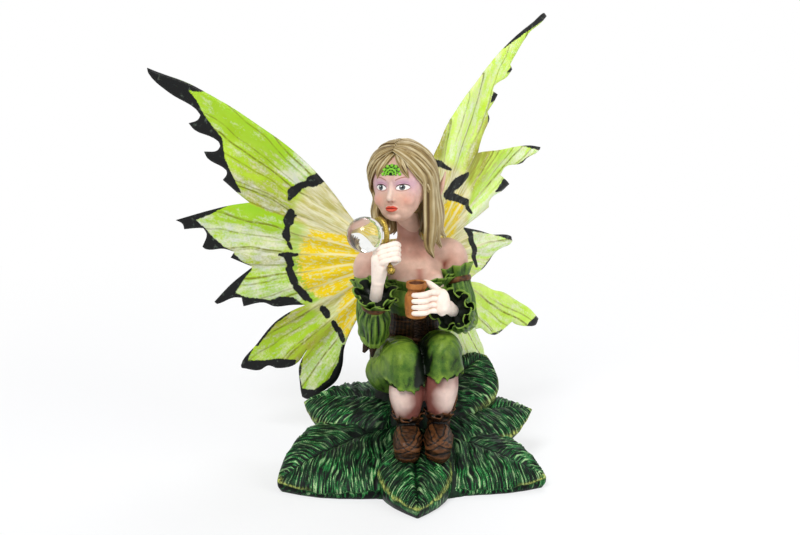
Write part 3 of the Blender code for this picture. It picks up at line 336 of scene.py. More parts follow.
def noise(points, size, seed=0, octaves=2):
    """Smooth noise from -1 to 1 at points, with lumps of about the given size."""
    total, weight = 0.0, 0.0
    for octave in range(octaves):
        p = np.asarray(points, float) / (size / 2**octave)
        cell = np.floor(p).astype(np.int64)
        f = p - cell
        f = f * f * (3 - 2 * f)
        mixed = 0.0
        for dx in (0, 1):
            for dy in (0, 1):
                for dz in (0, 1):
                    corner = hashed(cell[:, 0] + dx, cell[:, 1] + dy, cell[:, 2] + dz, seed + octave)
                    share = (f[:, 0] if dx else 1 - f[:, 0]) * (f[:, 1] if dy else 1 - f[:, 1])
                    mixed = mixed + corner * share * (f[:, 2] if dz else 1 - f[:, 2])
        total = total + (2 * mixed - 1) / 2**octave
        weight += 1 / 2**octave
    return total / weight


def head_axes(pitch=HEAD_PITCH):
    """Columns are the head's left, back and up directions. The face looks up a little more than the hair."""
    yaw, pitch, roll = (math.radians(a) for a in (HEAD_YAW, pitch, HEAD_ROLL))
    turn = np.array([[math.cos(yaw), -math.sin(yaw), 0], [math.sin(yaw), math.cos(yaw), 0], [0, 0, 1]])
    nod = np.array([[1, 0, 0], [0, math.cos(pitch), -math.sin(pitch)], [0, math.sin(pitch), math.cos(pitch)]])
    lean = np.array([[math.cos(roll), 0, math.sin(roll)], [0, 1, 0], [-math.sin(roll), 0, math.cos(roll)]])
    return turn @ nod @ lean


def head_place(x, y, z):
    return np.asarray(HEAD_CENTRE) + head_axes() @ vec(x, y, z)


def face_place(x, y, z):
    return np.asarray(HEAD_CENTRE) + head_axes(FACE_PITCH) @ vec(x, y, z)


def body_side():
    return vec(math.cos(math.radians(BODY_YAW)), math.sin(math.radians(BODY_YAW)), 0)


def body_back():
    return vec(-math.sin(math.radians(BODY_YAW)), math.cos(math.radians(BODY_YAW)), 0)


# Closed shapes as (points, faces)
def loft(rings):
    n = len(rings[0])
    faces = []
    for k in range(len(rings) - 1):
        for j in range(n):
            a, b = k * n + j, k * n + (j + 1) % n
            faces.append((a, b, b + n, a + n))
    faces.append(tuple(range(n))[::-1])
    faces.append(tuple((len(rings) - 1) * n + j for j in range(n)))
    return np.vstack(rings), faces


def circle(centre, across, along, a, b, sides, ripple=0.0):
    angle = full_turn(sides)
    a, b = a + ripple, b + ripple
    return np.asarray(centre) + np.outer(a * np.cos(angle), across) + np.outer(b * np.sin(angle), along)


def ellipsoid(centre, radii, axes=None, sides=48, levels=28):
    axes = np.eye(3) if axes is None else axes
    rings = []
    for k in range(levels + 1):
        polar = math.pi * (0.01 + 0.98 * k / levels)
        r, h = math.sin(polar), -math.cos(polar)
        middle = np.asarray(centre) + axes[:, 2] * radii[2] * h
        rings.append(circle(middle, axes[:, 0], axes[:, 1], radii[0] * r, radii[1] * r, sides))
    return loft(rings)


def tube(path, radii, sides=28, steps=None, flatten=1.0, guide=(0, 0, 1), ripple=None):
    """A round-ended tube along a smooth path. ripple(share, angle) adds to its radius."""
    rows = np.column_stack([np.asarray(path, float), np.asarray(radii, float)])
    rows = spline(rows, steps or 12 * len(rows))
    points, radius = rows[:, :3], rows[:, 3]
    tangent = np.gradient(points, axis=0)
    tangent /= np.linalg.norm(tangent, axis=1)[:, None]
    angle = full_turn(sides)
    rings = []

    def ring(centre, t, r, share):
        across = np.cross(guide, t)
        if np.linalg.norm(across) < 1e-3:
            across = np.cross((0.3, 1, 0), t)
        across = unit(across)
        extra = ripple(share, angle) * r if ripple else 0.0
        return circle(centre, across, np.cross(t, across), r, r * flatten, sides, extra)

    for polar in (0.1, 0.4, 0.7, 1.0, 1.3):
        back = math.cos(polar) * radius[0] * flatten
        rings.append(ring(points[0] - tangent[0] * back, tangent[0], radius[0] * math.sin(polar), 0.0))
    for k, (c, t, r) in enumerate(zip(points, tangent, radius)):
        rings.append(ring(c, t, r, k / (len(points) - 1)))
    for polar in (1.3, 1.0, 0.7, 0.4, 0.1):
        ahead = math.cos(polar) * radius[-1] * flatten
        rings.append(ring(points[-1] + tangent[-1] * ahead, tangent[-1], radius[-1] * math.sin(polar), 1.0))
    return loft(rings)


def merged(shapes):
    points, faces, start = [], [], 0
    for p, f in shapes:
        points.append(p)
        faces += [tuple(start + i for i in face) for face in f]
        start += len(p)
    return np.vstack(points), faces


# Objects
def linked(name, data):
    obj = bpy.data.objects.new(name, data)
    bpy.context.scene.collection.objects.link(obj)
    return obj


def new_piece(name, shape, material, values=None, replaces=CASTING):
    """A piece that rides on the figurine. values are named numbers on its points, read by its material."""
    points, faces = shape
    mesh = bpy.data.meshes.new(name)
    mesh.from_pydata((np.asarray(points) * MM).tolist(), [], [tuple(map(int, f)) for f in faces])
    for key, numbers in (values or {}).items():
        mesh.attributes.new(key, "FLOAT", "POINT").data.foreach_set("value", np.asarray(numbers, np.float32))
    bm = bmesh.new()
    bm.from_mesh(mesh)
    bmesh.ops.recalc_face_normals(bm, faces=bm.faces)
    bm.to_mesh(mesh)
    bm.free()
    mesh.materials.append(material)
    mesh.shade_smooth()
    obj = linked(name, mesh)
    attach(obj, "root")
    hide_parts(replaces)
    return obj


def settle(obj):
    graph = bpy.context.evaluated_depsgraph_get()
    made = bpy.data.meshes.new_from_object(obj.evaluated_get(graph), depsgraph=graph)
    obj.modifiers.clear()
    obj.data = made


def fuse(obj):
    """Fuses the overlapping shapes of a piece into one skin."""
    voxel, smooth = FUSED[obj.name]
    remesh = obj.modifiers.new("fuse", "REMESH")
    remesh.mode = "VOXEL"
    remesh.voxel_size = voxel * MM
    remesh.use_smooth_shade = True
    soften = obj.modifiers.new("soften", "SMOOTH")
    soften.iterations = smooth
    soften.factor = 0.5
    settle(obj)


def arrays(obj):
    """Points in millimetres, unit normals and edges of a piece."""
    mesh = obj.data
    n = len(mesh.vertices)
    points, normals = np.empty(n * 3, np.float32), np.empty(n * 3, np.float32)
    mesh.vertices.foreach_get("co", points)
    mesh.vertices.foreach_get("normal", normals)
    edges = np.empty(len(mesh.edges) * 2, np.int32)
    mesh.edges.foreach_get("vertices", edges)
    points, normals = (a.reshape(-1, 3).astype(float) for a in (points, normals))
    return points / MM, normals, edges.reshape(-1, 2)


def place(obj, points):
    obj.data.vertices.foreach_set("co", (points * MM).astype(np.float32).ravel())
    obj.data.update()


def value(obj, name, numbers):
    """Stores one number for each point of a piece, for its material."""
    layer = obj.data.attributes.get(name) or obj.data.attributes.new(name, "FLOAT", "POINT")
    layer.data.foreach_set("value", np.asarray(numbers, np.float32))


def colour(obj, name, colours):
    layer = obj.data.attributes.get(name) or obj.data.attributes.new(name, "FLOAT_COLOR", "POINT")
    full = np.ones((len(colours), 4), np.float32)
    full[:, :3] = colours
    layer.data.foreach_set("color", full.ravel())


def relief_of(obj, passes=10, span=0.12):
    """How far each point stands out from its softened surroundings: -1 in grooves, 1 on ridges."""
    points, normals, edges = arrays(obj)
    soft = points.copy()
    count = np.bincount(edges.ravel(), minlength=len(points))[:, None]
    for _ in range(passes):
        total = np.zeros_like(soft)
        for axis in range(3):
            total[:, axis] = (np.bincount(edges[:, 0], soft[edges[:, 1], axis], len(points))
                              + np.bincount(edges[:, 1], soft[edges[:, 0], axis], len(points)))
        soft = total / np.maximum(count, 1)
    return np.clip(((points - soft) * normals).sum(axis=1) / span, -1, 1)


def blended(base, other, share):
    share = np.asarray(share)[:, None]
    return np.asarray(base) * (1 - share) + np.asarray(other) * share


def layered(paint, *coats):
    """Lays coats over each other, each a colour and its share on every point."""
    for coat, share in coats:
        paint = blended(paint, coat, share)
    return paint


# Materials
def new_node(tree, kind, **settings):
    made = tree.nodes.new(kind)
    for key, setting in settings.items():
        setattr(made, key, setting)
    return made


class Nodes:
    """Small helper that wires a material's nodes."""

    def __init__(self, name):
        self.material = bpy.data.materials.new(name)
        self.material.use_nodes = True
        self.tree = self.material.node_tree
        self.shader = self.tree.nodes["Principled BSDF"]

    def node(self, kind, **settings):
        return new_node(self.tree, kind, **settings)

    def link(self, a, b):
        self.tree.links.new(a, b)

    def attribute(self, name, output="Fac"):
        return self.node("ShaderNodeAttribute", attribute_name=name).outputs[output]

    def noise(self, size, detail=3.0, rough=0.6, vector=None):
        """Noise with lumps of about the given size in millimetres."""
        made = self.node("ShaderNodeTexNoise")
        made.inputs["Scale"].default_value = 1 / (size * MM)
        made.inputs["Detail"].default_value = detail
        made.inputs["Roughness"].default_value = rough
        if vector is None:
            vector = self.node("ShaderNodeTexCoord").outputs["Object"]
        self.link(vector, made.inputs["Vector"])
        return made.outputs["Fac"]

    def stretch(self, source, low, high, to_low=0.0, to_high=1.0):
        made = self.node("ShaderNodeMapRange")
        for key, number in (("From Min", low), ("From Max", high), ("To Min", to_low), ("To Max", to_high)):
            made.inputs[key].default_value = number
        self.link(source, made.inputs["Value"])
        return made.outputs["Result"]

    def maths(self, operation, a, b):
        made = self.node("ShaderNodeMath", operation=operation)
        for k, side in enumerate((a, b)):
            if isinstance(side, (int, float)):
                made.inputs[k].default_value = side
            else:
                self.link(side, made.inputs[k])
        return made.outputs[0]

    def times(self, a, b):
        return self.maths("MULTIPLY", a, b)

    def plus(self, a, b):
        return self.maths("ADD", a, b)

    def about_zero(self, source, amount):
        """A value of about 0.5, such as noise, moved to lie around zero and scaled."""
        return self.times(self.maths("SUBTRACT", source, 0.5), amount)

    def mix(self, share, a, b, blend="MIX"):
        made = self.node("ShaderNodeMix", data_type="RGBA", blend_type=blend)
        for key, side in ((0, share), (6, a), (7, b)):
            if isinstance(side, (int, float)):
                made.inputs[key].default_value = side
            elif isinstance(side, (tuple, np.ndarray)):
                made.inputs[key].default_value = (*side, 1)
            else:
                self.link(side, made.inputs[key])
        return made.outputs[2]

    def bump(self, height, distance, strength=1.0):
        made = self.node("ShaderNodeBump")
        made.inputs["Distance"].default_value = distance * MM
        made.inputs["Strength"].default_value = strength
        self.link(height, made.inputs["Height"])
        self.link(made.outputs["Normal"], self.shader.inputs["Normal"])

    def finish(self, base, roughness, **sockets):
        self.link(base, self.shader.inputs["Base Color"])
        if isinstance(roughness, float):
            self.shader.inputs["Roughness"].default_value = roughness
        else:
            self.link(roughness, self.shader.inputs["Roughness"])
        for key, number in {"Specular_IOR_Level": 0.22, **sockets}.items():
            self.shader.inputs[key.replace("_", " ")].default_value = number
        return self.material


def wash_and_shade_paint(name, light, mid, dark, groove_darkening=1.0, gloss=0.42, grain=0.6):
    """Painted resin: a flat coat, a dark wash in the grooves that also paints their shade, and dry brushing
    on the ridges that also paints highlights.
    """
    n = Nodes(name)
    relief = n.attribute("relief")
    mottle = n.noise(grain * 3, 4.0)
    fine = n.noise(grain * 0.5, 3.0)
    relief_and_grain = n.plus(relief, n.about_zero(fine, 0.9))
    base = n.mix(n.stretch(mottle, 0.35, 0.7, 0.0, 0.45), mid, light)
    # Lighter on the ridges: dry brushing and painted highlight
    base = n.mix(n.stretch(relief_and_grain, 0.15, 0.75), base, light)
    base = n.mix(n.stretch(n.noise(grain * 8, 3.0), 0.5, 0.7, 0.0, 0.3), base, dark)
    # Darker in the grooves: wash and painted shade
    base = n.mix(n.stretch(relief_and_grain, -0.05, -0.75 / groove_darkening), base, dark)
    n.bump(n.noise(grain * 0.7, 4.0), 0.05, 0.6)
    return n.finish(base, n.stretch(fine, 0.3, 0.7, gloss - 0.08, gloss + 0.12))


def painted_by_points(name, gloss=0.42, subsurface=0.0, grain=0.5):
    """Paint whose colour is laid on the points of the piece, with mottling and a faint brush grain."""
    n = Nodes(name)
    mottle = n.stretch(n.noise(grain * 4, 4.0), 0.3, 0.7, 0.9, 1.08)
    gray = n.node("ShaderNodeCombineColor")
    for k in range(3):
        n.link(mottle, gray.inputs[k])
    base = n.mix(1.0, n.attribute("paint", "Color"), gray.outputs[0], "MULTIPLY")
    n.bump(n.noise(grain, 3.0), 0.03, 0.5)
    fine = n.noise(grain * 0.8, 2.0)
    sockets = {"Subsurface_Weight": subsurface, "Subsurface_Scale": 0.002} if subsurface else {}
    return n.finish(base, n.stretch(fine, 0.3, 0.7, gloss - 0.06, gloss + 0.1), **sockets)


def main_materials():
    return {
        "cloth": wash_and_shade_paint("green_cloth_paint", CLOTH_LIGHT, CLOTH_MID, CLOTH_DARK, 1.3),
        "trousers": wash_and_shade_paint(
            "trouser_paint", rgb(118, 146, 50), rgb(54, 90, 26), CLOTH_DARK, 1.3, 0.42, 0.8),
        "brown": wash_and_shade_paint("brown_leather_paint", BROWN_LIGHT, BROWN_MID, BROWN_DARK, 1.4),
        "bodice": wash_and_shade_paint("bodice_paint", rgb(84, 54, 30), rgb(30, 19, 11), rgb(5, 3, 2), 1.6),
        "boot": wash_and_shade_paint("boot_paint", rgb(96, 58, 28), rgb(36, 22, 12), rgb(4, 3, 2), 1.7, 0.4, 0.5),
        "skin": painted_by_points("skin_paint", 0.45, 0.08),
        "pale": painted_by_points("pale_skin_paint", 0.5, 0.08),
        "hair": painted_by_points("hair_paint", 0.42),
        "leaf": leaf_paint(),
        # The mound is painted near black, as painted shade under and between the leaves
        "mound": wash_and_shade_paint("mound_paint", rgb(24, 70, 36), rgb(5, 22, 11), LEAF_DARK, 1.6, 0.6),
    }


def leaf_paint():
    """Dark green with black between the carved strokes, which also paints their shade, pale strokes on top
    that also paint highlights, painted shade towards the middle of the plant and lime rims that are partly
    painted highlight.
    """
    n = Nodes("leaf_paint")
    relief, rim, outer = (n.attribute(k) for k in ("relief", "rim", "outer"))
    ways = n.node("ShaderNodeCombineXYZ")
    n.link(n.times(n.attribute("across_strokes"), MM), ways.inputs[0])
    n.link(n.times(n.attribute("along_strokes"), 0.16 * MM), ways.inputs[1])
    stroke = n.noise(0.62, 2.0, 0.6, ways.outputs[0])
    fine = n.noise(0.3, 3.0)
    patch = n.noise(5.0, 3.0)
    relief_and_grain = n.plus(n.times(relief, 0.45), n.about_zero(stroke, 5.0))
    relief_and_grain = n.plus(relief_and_grain, n.about_zero(fine, 1.2))
    # Pale strokes mostly on the outer parts, as dry brushing and painted highlight
    share = n.times(n.stretch(patch, 0.38, 0.6, 0.35, 1.0), n.stretch(outer, 0.0, 1.0, 0.35, 1.0))
    brushed_highlight = n.times(n.stretch(relief_and_grain, 0.4, 0.85), share)
    base = n.mix(n.stretch(patch, 0.4, 0.62), rgb(12, 56, 26), rgb(38, 122, 58))
    # Painted shade towards the middle of the plant
    base = n.mix(n.stretch(outer, 0.0, 0.5, 0.6, 0.0), base, rgb(5, 22, 11))
    base = n.mix(brushed_highlight, base, LEAF_LIGHT)
    # Black between the strokes, as paint and painted shade
    base = n.mix(n.stretch(relief_and_grain, 0.2, -0.2), base, LEAF_DARK)
    # Lime rims: edge paint and painted highlight on the upper edges
    rim_share = n.times(rim, n.stretch(n.noise(1.4, 4.0, 0.7), 0.4, 0.56, 0.05, 1.0))
    rim_share = n.times(rim_share, n.stretch(relief_and_grain, -0.6, 0.2, 0.25, 1.0))
    base = n.mix(rim_share, base, LEAF_RIM)
    n.bump(n.plus(stroke, n.times(fine, 0.4)), 0.16, 0.9)
    return n.finish(base, n.stretch(fine, 0.3, 0.7, 0.34, 0.5), Specular_IOR_Level=0.12)


# Leaves
def leaf_width(s, bluntness):
    """Share of the half width at s, from 0 at the inner end of a leaf to 1 at its tip."""
    widest = 0.42
    inner = 1 - 0.3 * np.clip((widest - s) / widest, 0, 1) ** 2
    outer = 1 - np.clip((s - widest) / (1 - widest), 0, 1) ** bluntness
    return np.where(s < widest, inner, outer)


def stroke_ways(leaf, s, t, seed):
    """Where a point is across the carved strokes and along them, in millimetres."""
    reach, half_width = leaf[1], leaf[5]
    y = s * (reach - LEAF_INNER_RADIUS)
    x = np.abs(t) * half_width * leaf_width(s, leaf[7])
    spot = np.column_stack([y, x + np.where(t > 0, 37.0, 0.0), np.zeros_like(y)])
    return spot, y - 1.15 * x + 0.024 * x**2 + 1.6 * noise(spot, 6.0, seed), x


def leaf_strokes(leaf, s, t, seed):
    """The carved strokes that run from the midrib outwards and forwards: 1 on ridges, -1 in grooves."""
    spot, steep, x = stroke_ways(leaf, s, t, seed)
    one = np.cos(2 * math.pi * steep / STROKE_PITCH + 3.0 * noise(spot, 2.4, seed + 5))
    broken = noise(np.column_stack([steep * 1.7, 0.55 * x + spot[:, 1], 0 * x]), 2.0, seed + 9)
    return one * (0.35 + 0.65 * smoothstep(-0.4, 0.4, broken)) + 0.7 * broken


def leaf_top(leaf, s, t, seed, skirt):
    """The carved top of a leaf at s along it and t across it, from -1 to 1."""
    heading, reach, inner_z, middle_z, tip_z, half_width, tilt, bluntness, _ = leaf
    heading = math.radians(heading)
    out = vec(math.sin(heading), -math.cos(heading), 0)
    side = vec(math.cos(heading), math.sin(heading), 0)
    distance = LEAF_INNER_RADIUS + (reach - LEAF_INNER_RADIUS) * s
    width = half_width * leaf_width(s, bluntness) * t
    width = width * (1 + abs(skirt) * (t * skirt > 0) * np.abs(t) * bell((s - 0.3) / 0.25))
    z = inner_z * (1 - s) ** 2 + 2 * (2 * middle_z - (inner_z + tip_z) / 2) * s * (1 - s) + tip_z * s**2
    fade = np.clip((1 - s) * 4, 0, 1)
    z = z + math.tan(math.radians(tilt)) * width
    z = z + fade * (LEAF_ARCH * (1 - t**2) - LEAF_DROOP * t**4 - LEAF_GROOVE * bell(t / 0.1))
    vein = np.cos(2 * math.pi * VEINS_PER_LEAF * (s - 0.22 * np.abs(t)))
    z = z + fade * VEIN_DEPTH * vein * np.clip(np.abs(t) * 4, 0, 1)
    inside = smoothstep(1.0, 0.92, np.abs(t)) * smoothstep(1.0, 0.95, s)
    z = z + STROKE_DEPTH * leaf_strokes(leaf, s, t, seed) * inside * smoothstep(0.02, 0.1, np.abs(t))
    z = z - EDGE_DROP * fade * smoothstep(0.88, 1.0, np.abs(t)) ** 2
    z = np.maximum(z, 1.2)
    return np.outer(distance, out) + np.outer(width, side) + np.outer(z, (0, 0, 1))


def leaf_walls(edge, foot_share, seed):
    """Rings from the edge of a leaf down to its foot, bulging and lumpy, and the middle under them."""
    foot = edge * (foot_share, foot_share, 0) - (0, 0, CUT_DEPTH)
    centre = edge.mean(axis=0) * (1, 1, 0)
    outward = unit_rows((edge - centre) * (1, 1, 0))
    down = LEAF_GRID[2]
    walls = []
    for k in range(1, down + 1):
        share = k / down
        depth = share * edge[:, 2] / (edge[:, 2] + CUT_DEPTH)
        ring = edge + (foot - edge) * depth[:, None]
        lumps = noise(ring * (1, 1, 0.35), 1.6, seed + 3)
        bulge = 0.5 * math.sin(math.pi * share) + 0.22 * lumps * math.sin(math.pi * min(1, share * 1.4))
        walls.append(ring + outward * bulge[:, None])
    return np.vstack(walls), centre


def leaf_piece(name, leaf, seed, material):
    """A carved leaf with its thick sides, closed underneath."""
    along, across, down = LEAF_GRID
    grid = np.meshgrid(np.linspace(0, 0.995, along), np.linspace(-1, 1, across), indexing="ij")
    s, t = (g.ravel() for g in grid)
    top = leaf_top(leaf, s, t, seed, LEAF_SKIRTS.get(name, 0.0))
    rim = [i * across for i in range(along)]
    rim += [(along - 1) * across + j for j in range(1, across)]
    rim += [i * across + across - 1 for i in range(along - 2, -1, -1)]
    rim += list(range(across - 2, 0, -1))
    walls, centre = leaf_walls(top[rim], leaf[-1], seed)
    corners = [i * across + j for i in range(along - 1) for j in range(across - 1)]
    faces = [(a, a + across, a + across + 1, a + 1) for a in corners]
    n, upper = len(rim), rim
    for k in range(down):
        lower = range(len(top) + k * n, len(top) + (k + 1) * n)
        faces += [(upper[j], upper[(j + 1) % n], lower[(j + 1) % n], lower[j]) for j in range(n)]
        upper = lower
    faces += [(upper[j], upper[(j + 1) % n], len(top) + len(walls)) for j in range(n)]

    # The midrib groove is painted dark, as wash and painted shade
    groove = bell(t / 0.035) * smoothstep(1.0, 0.9, s)
    left_rim, right_rim = LEAF_RIMS.get(name, (0.5, 0.5))
    edge_share = np.maximum(np.where(t < 0, left_rim, right_rim), smoothstep(0.8, 0.95, s))
    border = np.maximum(smoothstep(0.93, 0.985, np.abs(t)) * edge_share, smoothstep(0.95, 0.985, s))
    border = border * smoothstep(0.15, 0.6, s)
    level = np.repeat(np.arange(1, down + 1) / down, n)
    # The sides are painted darker towards their foot, as painted shade under the leaf
    wall_relief = 0.9 * noise(walls * (1, 1, 0.3), 1.5, seed + 3) - 0.15 - 0.9 * smoothstep(0.55, 1.0, level)
    _, across_strokes, along_strokes = stroke_ways(leaf, s, t, seed)
    # Low towards the middle of the plant, where the leaf paint puts painted shade, high towards the edges and
    # tip, where it puts more pale strokes
    outer = np.maximum(smoothstep(0.35, 0.95, np.abs(t)), smoothstep(0.4, 0.95, s)) * smoothstep(0.1, 0.5, s)
    # Numbers on the top, on the sides and at the point underneath
    values = {
        "across_strokes": (across_strokes + 7 * (t > 0), walls @ vec(0.7, 0.7, 0.0), 0),
        "along_strokes": (along_strokes, walls[:, 2], 0),
        "outer": (outer, np.full(len(walls), 0.6), 0),
        "relief": (leaf_strokes(leaf, s, t, seed) - 1.3 * groove, wall_relief, -1),
        "rim": (border, np.tile(border[rim], down) * smoothstep(0.14, 0.0, level), 0),
    }
    values = {key: np.concatenate([above, sides, [under]]) for key, (above, sides, under) in values.items()}
    new_piece(name, (np.vstack([top, walls, centre]), faces), material, values)


def base_pieces(look):
    """The eight leaves and the ridged mound that carries them."""
    for k, (name, leaf) in enumerate(LEAVES.items()):
        leaf_piece(name, leaf, 11 * k + 3, look["leaf"])
    points, faces = merged([ellipsoid((0, 0, 0.4), (32.6, 29.6, 11.8), sides=200, levels=24),
                            ellipsoid((0, 9, 9.7), (16.8, 13.8, 19.2), sides=100, levels=20)])
    outward = unit_rows(points * (1, 1, 0))
    ridges = noise(np.column_stack([outward[:, :2] * 16, points[:, 2] * 0.12]), 1.0, 19)
    points = points + outward * (0.45 * ridges - 0.2)[:, None]
    points[:, 2] = np.maximum(points[:, 2], 0.0)
    obj = new_piece("leaf_mound", (points, faces), look["mound"])
    value(obj, "relief", np.clip(1.5 * ridges - 0.25, -1, 1))


# Skin of the body
def arm_directions(arm):
    shoulder, elbow, cuff = (np.asarray(p, float) for p in arm)
    return shoulder, elbow, cuff, unit(elbow - shoulder), unit(cuff - elbow)


def body_skin(look):
    """Trunk, shoulders, collar bones, bust and shins."""
    side, back = body_side(), body_back()
    root_of_neck = vec(-0.9, 0.0, 71.4)
    shapes = [loft([circle(r[:3], side, back, r[3], r[4], 64) for r in spline(TRUNK, 50)])]
    for arm in (RIGHT_ARM, LEFT_ARM):
        shoulder, elbow, *_ = arm_directions(arm)
        neck_side = between(shoulder, (-0.6, 4.0, 69.0), 0.75)
        bare = [neck_side, shoulder, between(shoulder, elbow, GATHER_SHARE)]
        shapes.append(tube(bare, [4.2, 4.4, 3.9], 40))
        middle_of_bone = between(root_of_neck, shoulder, 0.5)
        bone = [root_of_neck + (0, -0.4, 0.2), middle_of_bone, shoulder + (0, -1.0, 2.6)]
        shapes.append(tube(bone, [0.9, 0.8, 0.7]))
    middle = vec(0.9, 2.9, 60.6)
    for hand in (-1, 1):
        shapes.append(ellipsoid(middle + side * hand * 4.2 - back * 3.9, (4.3, 4.0, 4.4)))
    for leg in (RIGHT_LEG, LEFT_LEG):
        knee, ankle = np.asarray(leg[1]), np.asarray(leg[2])
        down = unit(ankle - knee)
        shapes.append(tube([knee + down * 7.4, between(knee, ankle, 0.6) + (0, -0.3, 0), ankle],
                           [SHIN_RADIUS - 0.7, SHIN_RADIUS - 0.5, ANKLE_RADIUS], 48))
    obj = new_piece("skin", merged(shapes), look["skin"])
    fuse(obj)
    points, normals, _ = arrays(obj)
    paint = trunk_paint(points, normals, relief_of(obj, 32, 0.9), (points - middle) @ side)
    colour(obj, "paint", blended(paint, leg_paint(points), (points[:, 2] < 45).astype(float)))


def trunk_paint(points, normals, raised, sideways):
    """Rosy painted shade in the hollows, between the breasts, on the back, at the sides and on the neck, and
    a painted highlight where the skin stands out.
    """
    x, y, z = points.T
    cleft = bell(sideways / 1.3) * (z < 66) * (z > 57)
    from_behind = normals @ -unit(vec(-0.1, -1, 0)) > 0.2
    # Painted shade in the hollows, between the breasts and on faces turned back
    painted_shade = np.clip(np.clip(-raised, 0, 1) + 0.75 * cleft + 0.25 * from_behind, 0, 0.85)
    from_neck = np.hypot(x - 0.5, y - 1.0)
    # Painted shade on the neck under the head and at the trunk's sides
    neck_shade = 0.6 * smoothstep(74, 82, z) + 0.45 * smoothstep(9, 4, from_neck) * smoothstep(67, 71, z)
    neck_shade += 0.3 * smoothstep(9.5, 12.5, np.abs(x + 0.5))
    paint = blended(SKIN, SKIN_SHADE, np.clip(painted_shade + neck_shade + 0.15 * noise(points, 3, 8), 0, 0.9))
    # Painted highlight where the skin stands out
    return blended(paint, PALE_SKIN_AND_HIGHLIGHT, 0.6 * smoothstep(0.15, 0.8, raised))


def leg_paint(points):
    """Pale shins, shaded on their sides, between the legs, under the trousers and above the boots."""
    x, _, z = points.T
    right, left = (np.interp(z, (leg[2][2], leg[1][2]), (leg[2][0], leg[1][0]))
                   for leg in (RIGHT_LEG, LEFT_LEG))
    off_middle = np.minimum(np.abs(x - right), np.abs(x - left)) / SHIN_RADIUS
    shade = 1.2 * bell((x - (right + left) / 2) / 4.4) + 0.5 * smoothstep(0.5, 1.0, off_middle)
    shade = shade + 0.75 * smoothstep(27.5, 21.5, z) + 0.45 * smoothstep(30, 34, z)
    shade = shade + 0.12 * noise(points, 2.5, 9)
    return blended(SHIN_PALE, SHIN_SHADE, np.clip(shade, 0, 0.95))


# Head
def face_push(x, z):
    """How far the face stands out from the smooth head, at local x and z, in millimetres."""
    ax = np.abs(x)
    over = z - MOUTH_HEIGHT
    upper_lid = bell(((z - EYE_HEIGHT) - lid_height(x, 1) - 0.28) / 0.26)
    brow = bell((z - 3.0 + 0.09 * (ax - 3.4) ** 2) / 0.95) * smoothstep(0.2, 1.4, ax)
    shape = np.clip(1 - (x / MOUTH_HALF_WIDTH) ** 2, 0, 1)
    upper_lip = bell((over - 0.5 * shape**0.7) / 0.42) * shape**0.6
    lower_lip = bell((over + 0.62 * shape**0.6) / 0.5) * shape**0.6
    return (
        -0.7 * bell((ax - EYE_SPREAD) / 2.5, (z - EYE_HEIGHT - 0.1) / 1.75)
        + 0.5 * smoothstep(-0.35, 0.5, eye_almond(x, z))
        + 0.22 * upper_lid * (ax < EYE_SPREAD + 2.2) * (ax > 1.1)
        + 0.3 * brow * smoothstep(6.8, 4.6, ax)
        + 0.55 * upper_lip
        + 0.62 * lower_lip
        - 0.28 * bell(over / 0.13) * (ax < MOUTH_HALF_WIDTH * 0.95)
        - 0.3 * bell(x / 2.2, (over + 2.1) / 0.6)
        - 0.14 * bell(x / 0.35) * smoothstep(-6.0, -5.6, z) * smoothstep(-4.4, -4.9, z)
    )


def lid_height(x, hand):
    """Height of the upper (1) or lower (-1) lid over the eye's middle."""
    u = np.clip((np.abs(x) - EYE_SPREAD) / EYE_HALF_WIDTH, -1, 1)
    arch = np.sqrt(np.clip(1 - u**2, 0, 1))
    return EYE_HALF_HEIGHT * arch * (1.0 if hand > 0 else 0.78) * hand + 0.14 * u


def eye_almond(x, z):
    """Positive inside the opening of an eye."""
    z = z - EYE_HEIGHT
    gap = np.minimum(lid_height(x, 1) - z, z - lid_height(x, -1))
    reach = EYE_HALF_WIDTH - np.abs(np.abs(x) - EYE_SPREAD)
    return np.minimum(gap, reach * 0.7)


def eye_coats(x, z, front):
    """White, rim, iris, pupil and painted glint of the eyes, the two lid lines and painted shade along the
    crease over them.
    """
    inside = smoothstep(-0.04, 0.06, eye_almond(x, z)) * front
    iris_x, iris_z = np.sign(x) * EYE_SPREAD - 0.1, EYE_HEIGHT + 0.15
    reach = np.hypot(x - iris_x, z - iris_z)
    glint = np.hypot(x - iris_x + 0.3, z - iris_z - 0.32)
    ends = (EYE_HALF_WIDTH + 0.25, EYE_HALF_WIDTH - 0.1)
    along = smoothstep(*ends, np.abs(np.abs(x) - EYE_SPREAD)) * front
    upper, lower = (z - EYE_HEIGHT - lid_height(x, hand) for hand in (1, -1))
    return (
        (rgb(240, 236, 230), inside),
        (rgb(26, 26, 28), inside * smoothstep(0.88, 0.8, reach)),
        (rgb(96, 104, 108), inside * smoothstep(0.72, 0.62, reach)),
        (rgb(14, 14, 16), inside * smoothstep(0.46, 0.38, reach)),
        # Painted glint
        (rgb(250, 250, 250), inside * smoothstep(0.22, 0.14, glint)),
        (rgb(66, 34, 30), along * smoothstep(0.26, 0.12, np.abs(upper - 0.02))),
        (rgb(150, 84, 72), 0.8 * along * smoothstep(0.16, 0.06, np.abs(lower + 0.03))),
        # Painted shade along the lid's crease
        (rgb(168, 112, 122), 0.6 * along * smoothstep(0.16, 0.05, np.abs(upper - 0.62))),
    )


def brow_coat(x, z, front):
    ax = np.abs(x)
    u = np.clip((ax - 1.5) / 4.3, 0, 1)
    middle = EYE_HEIGHT + 2.3 + 1.15 * np.sin(u * 2.2) - 0.35 * u
    brow = smoothstep(0.24, 0.08, np.abs(z - middle)) * (ax > 1.4) * (ax < 5.9) * front
    return rgb(150, 96, 72), 0.85 * brow * smoothstep(1.0, 0.75, u)


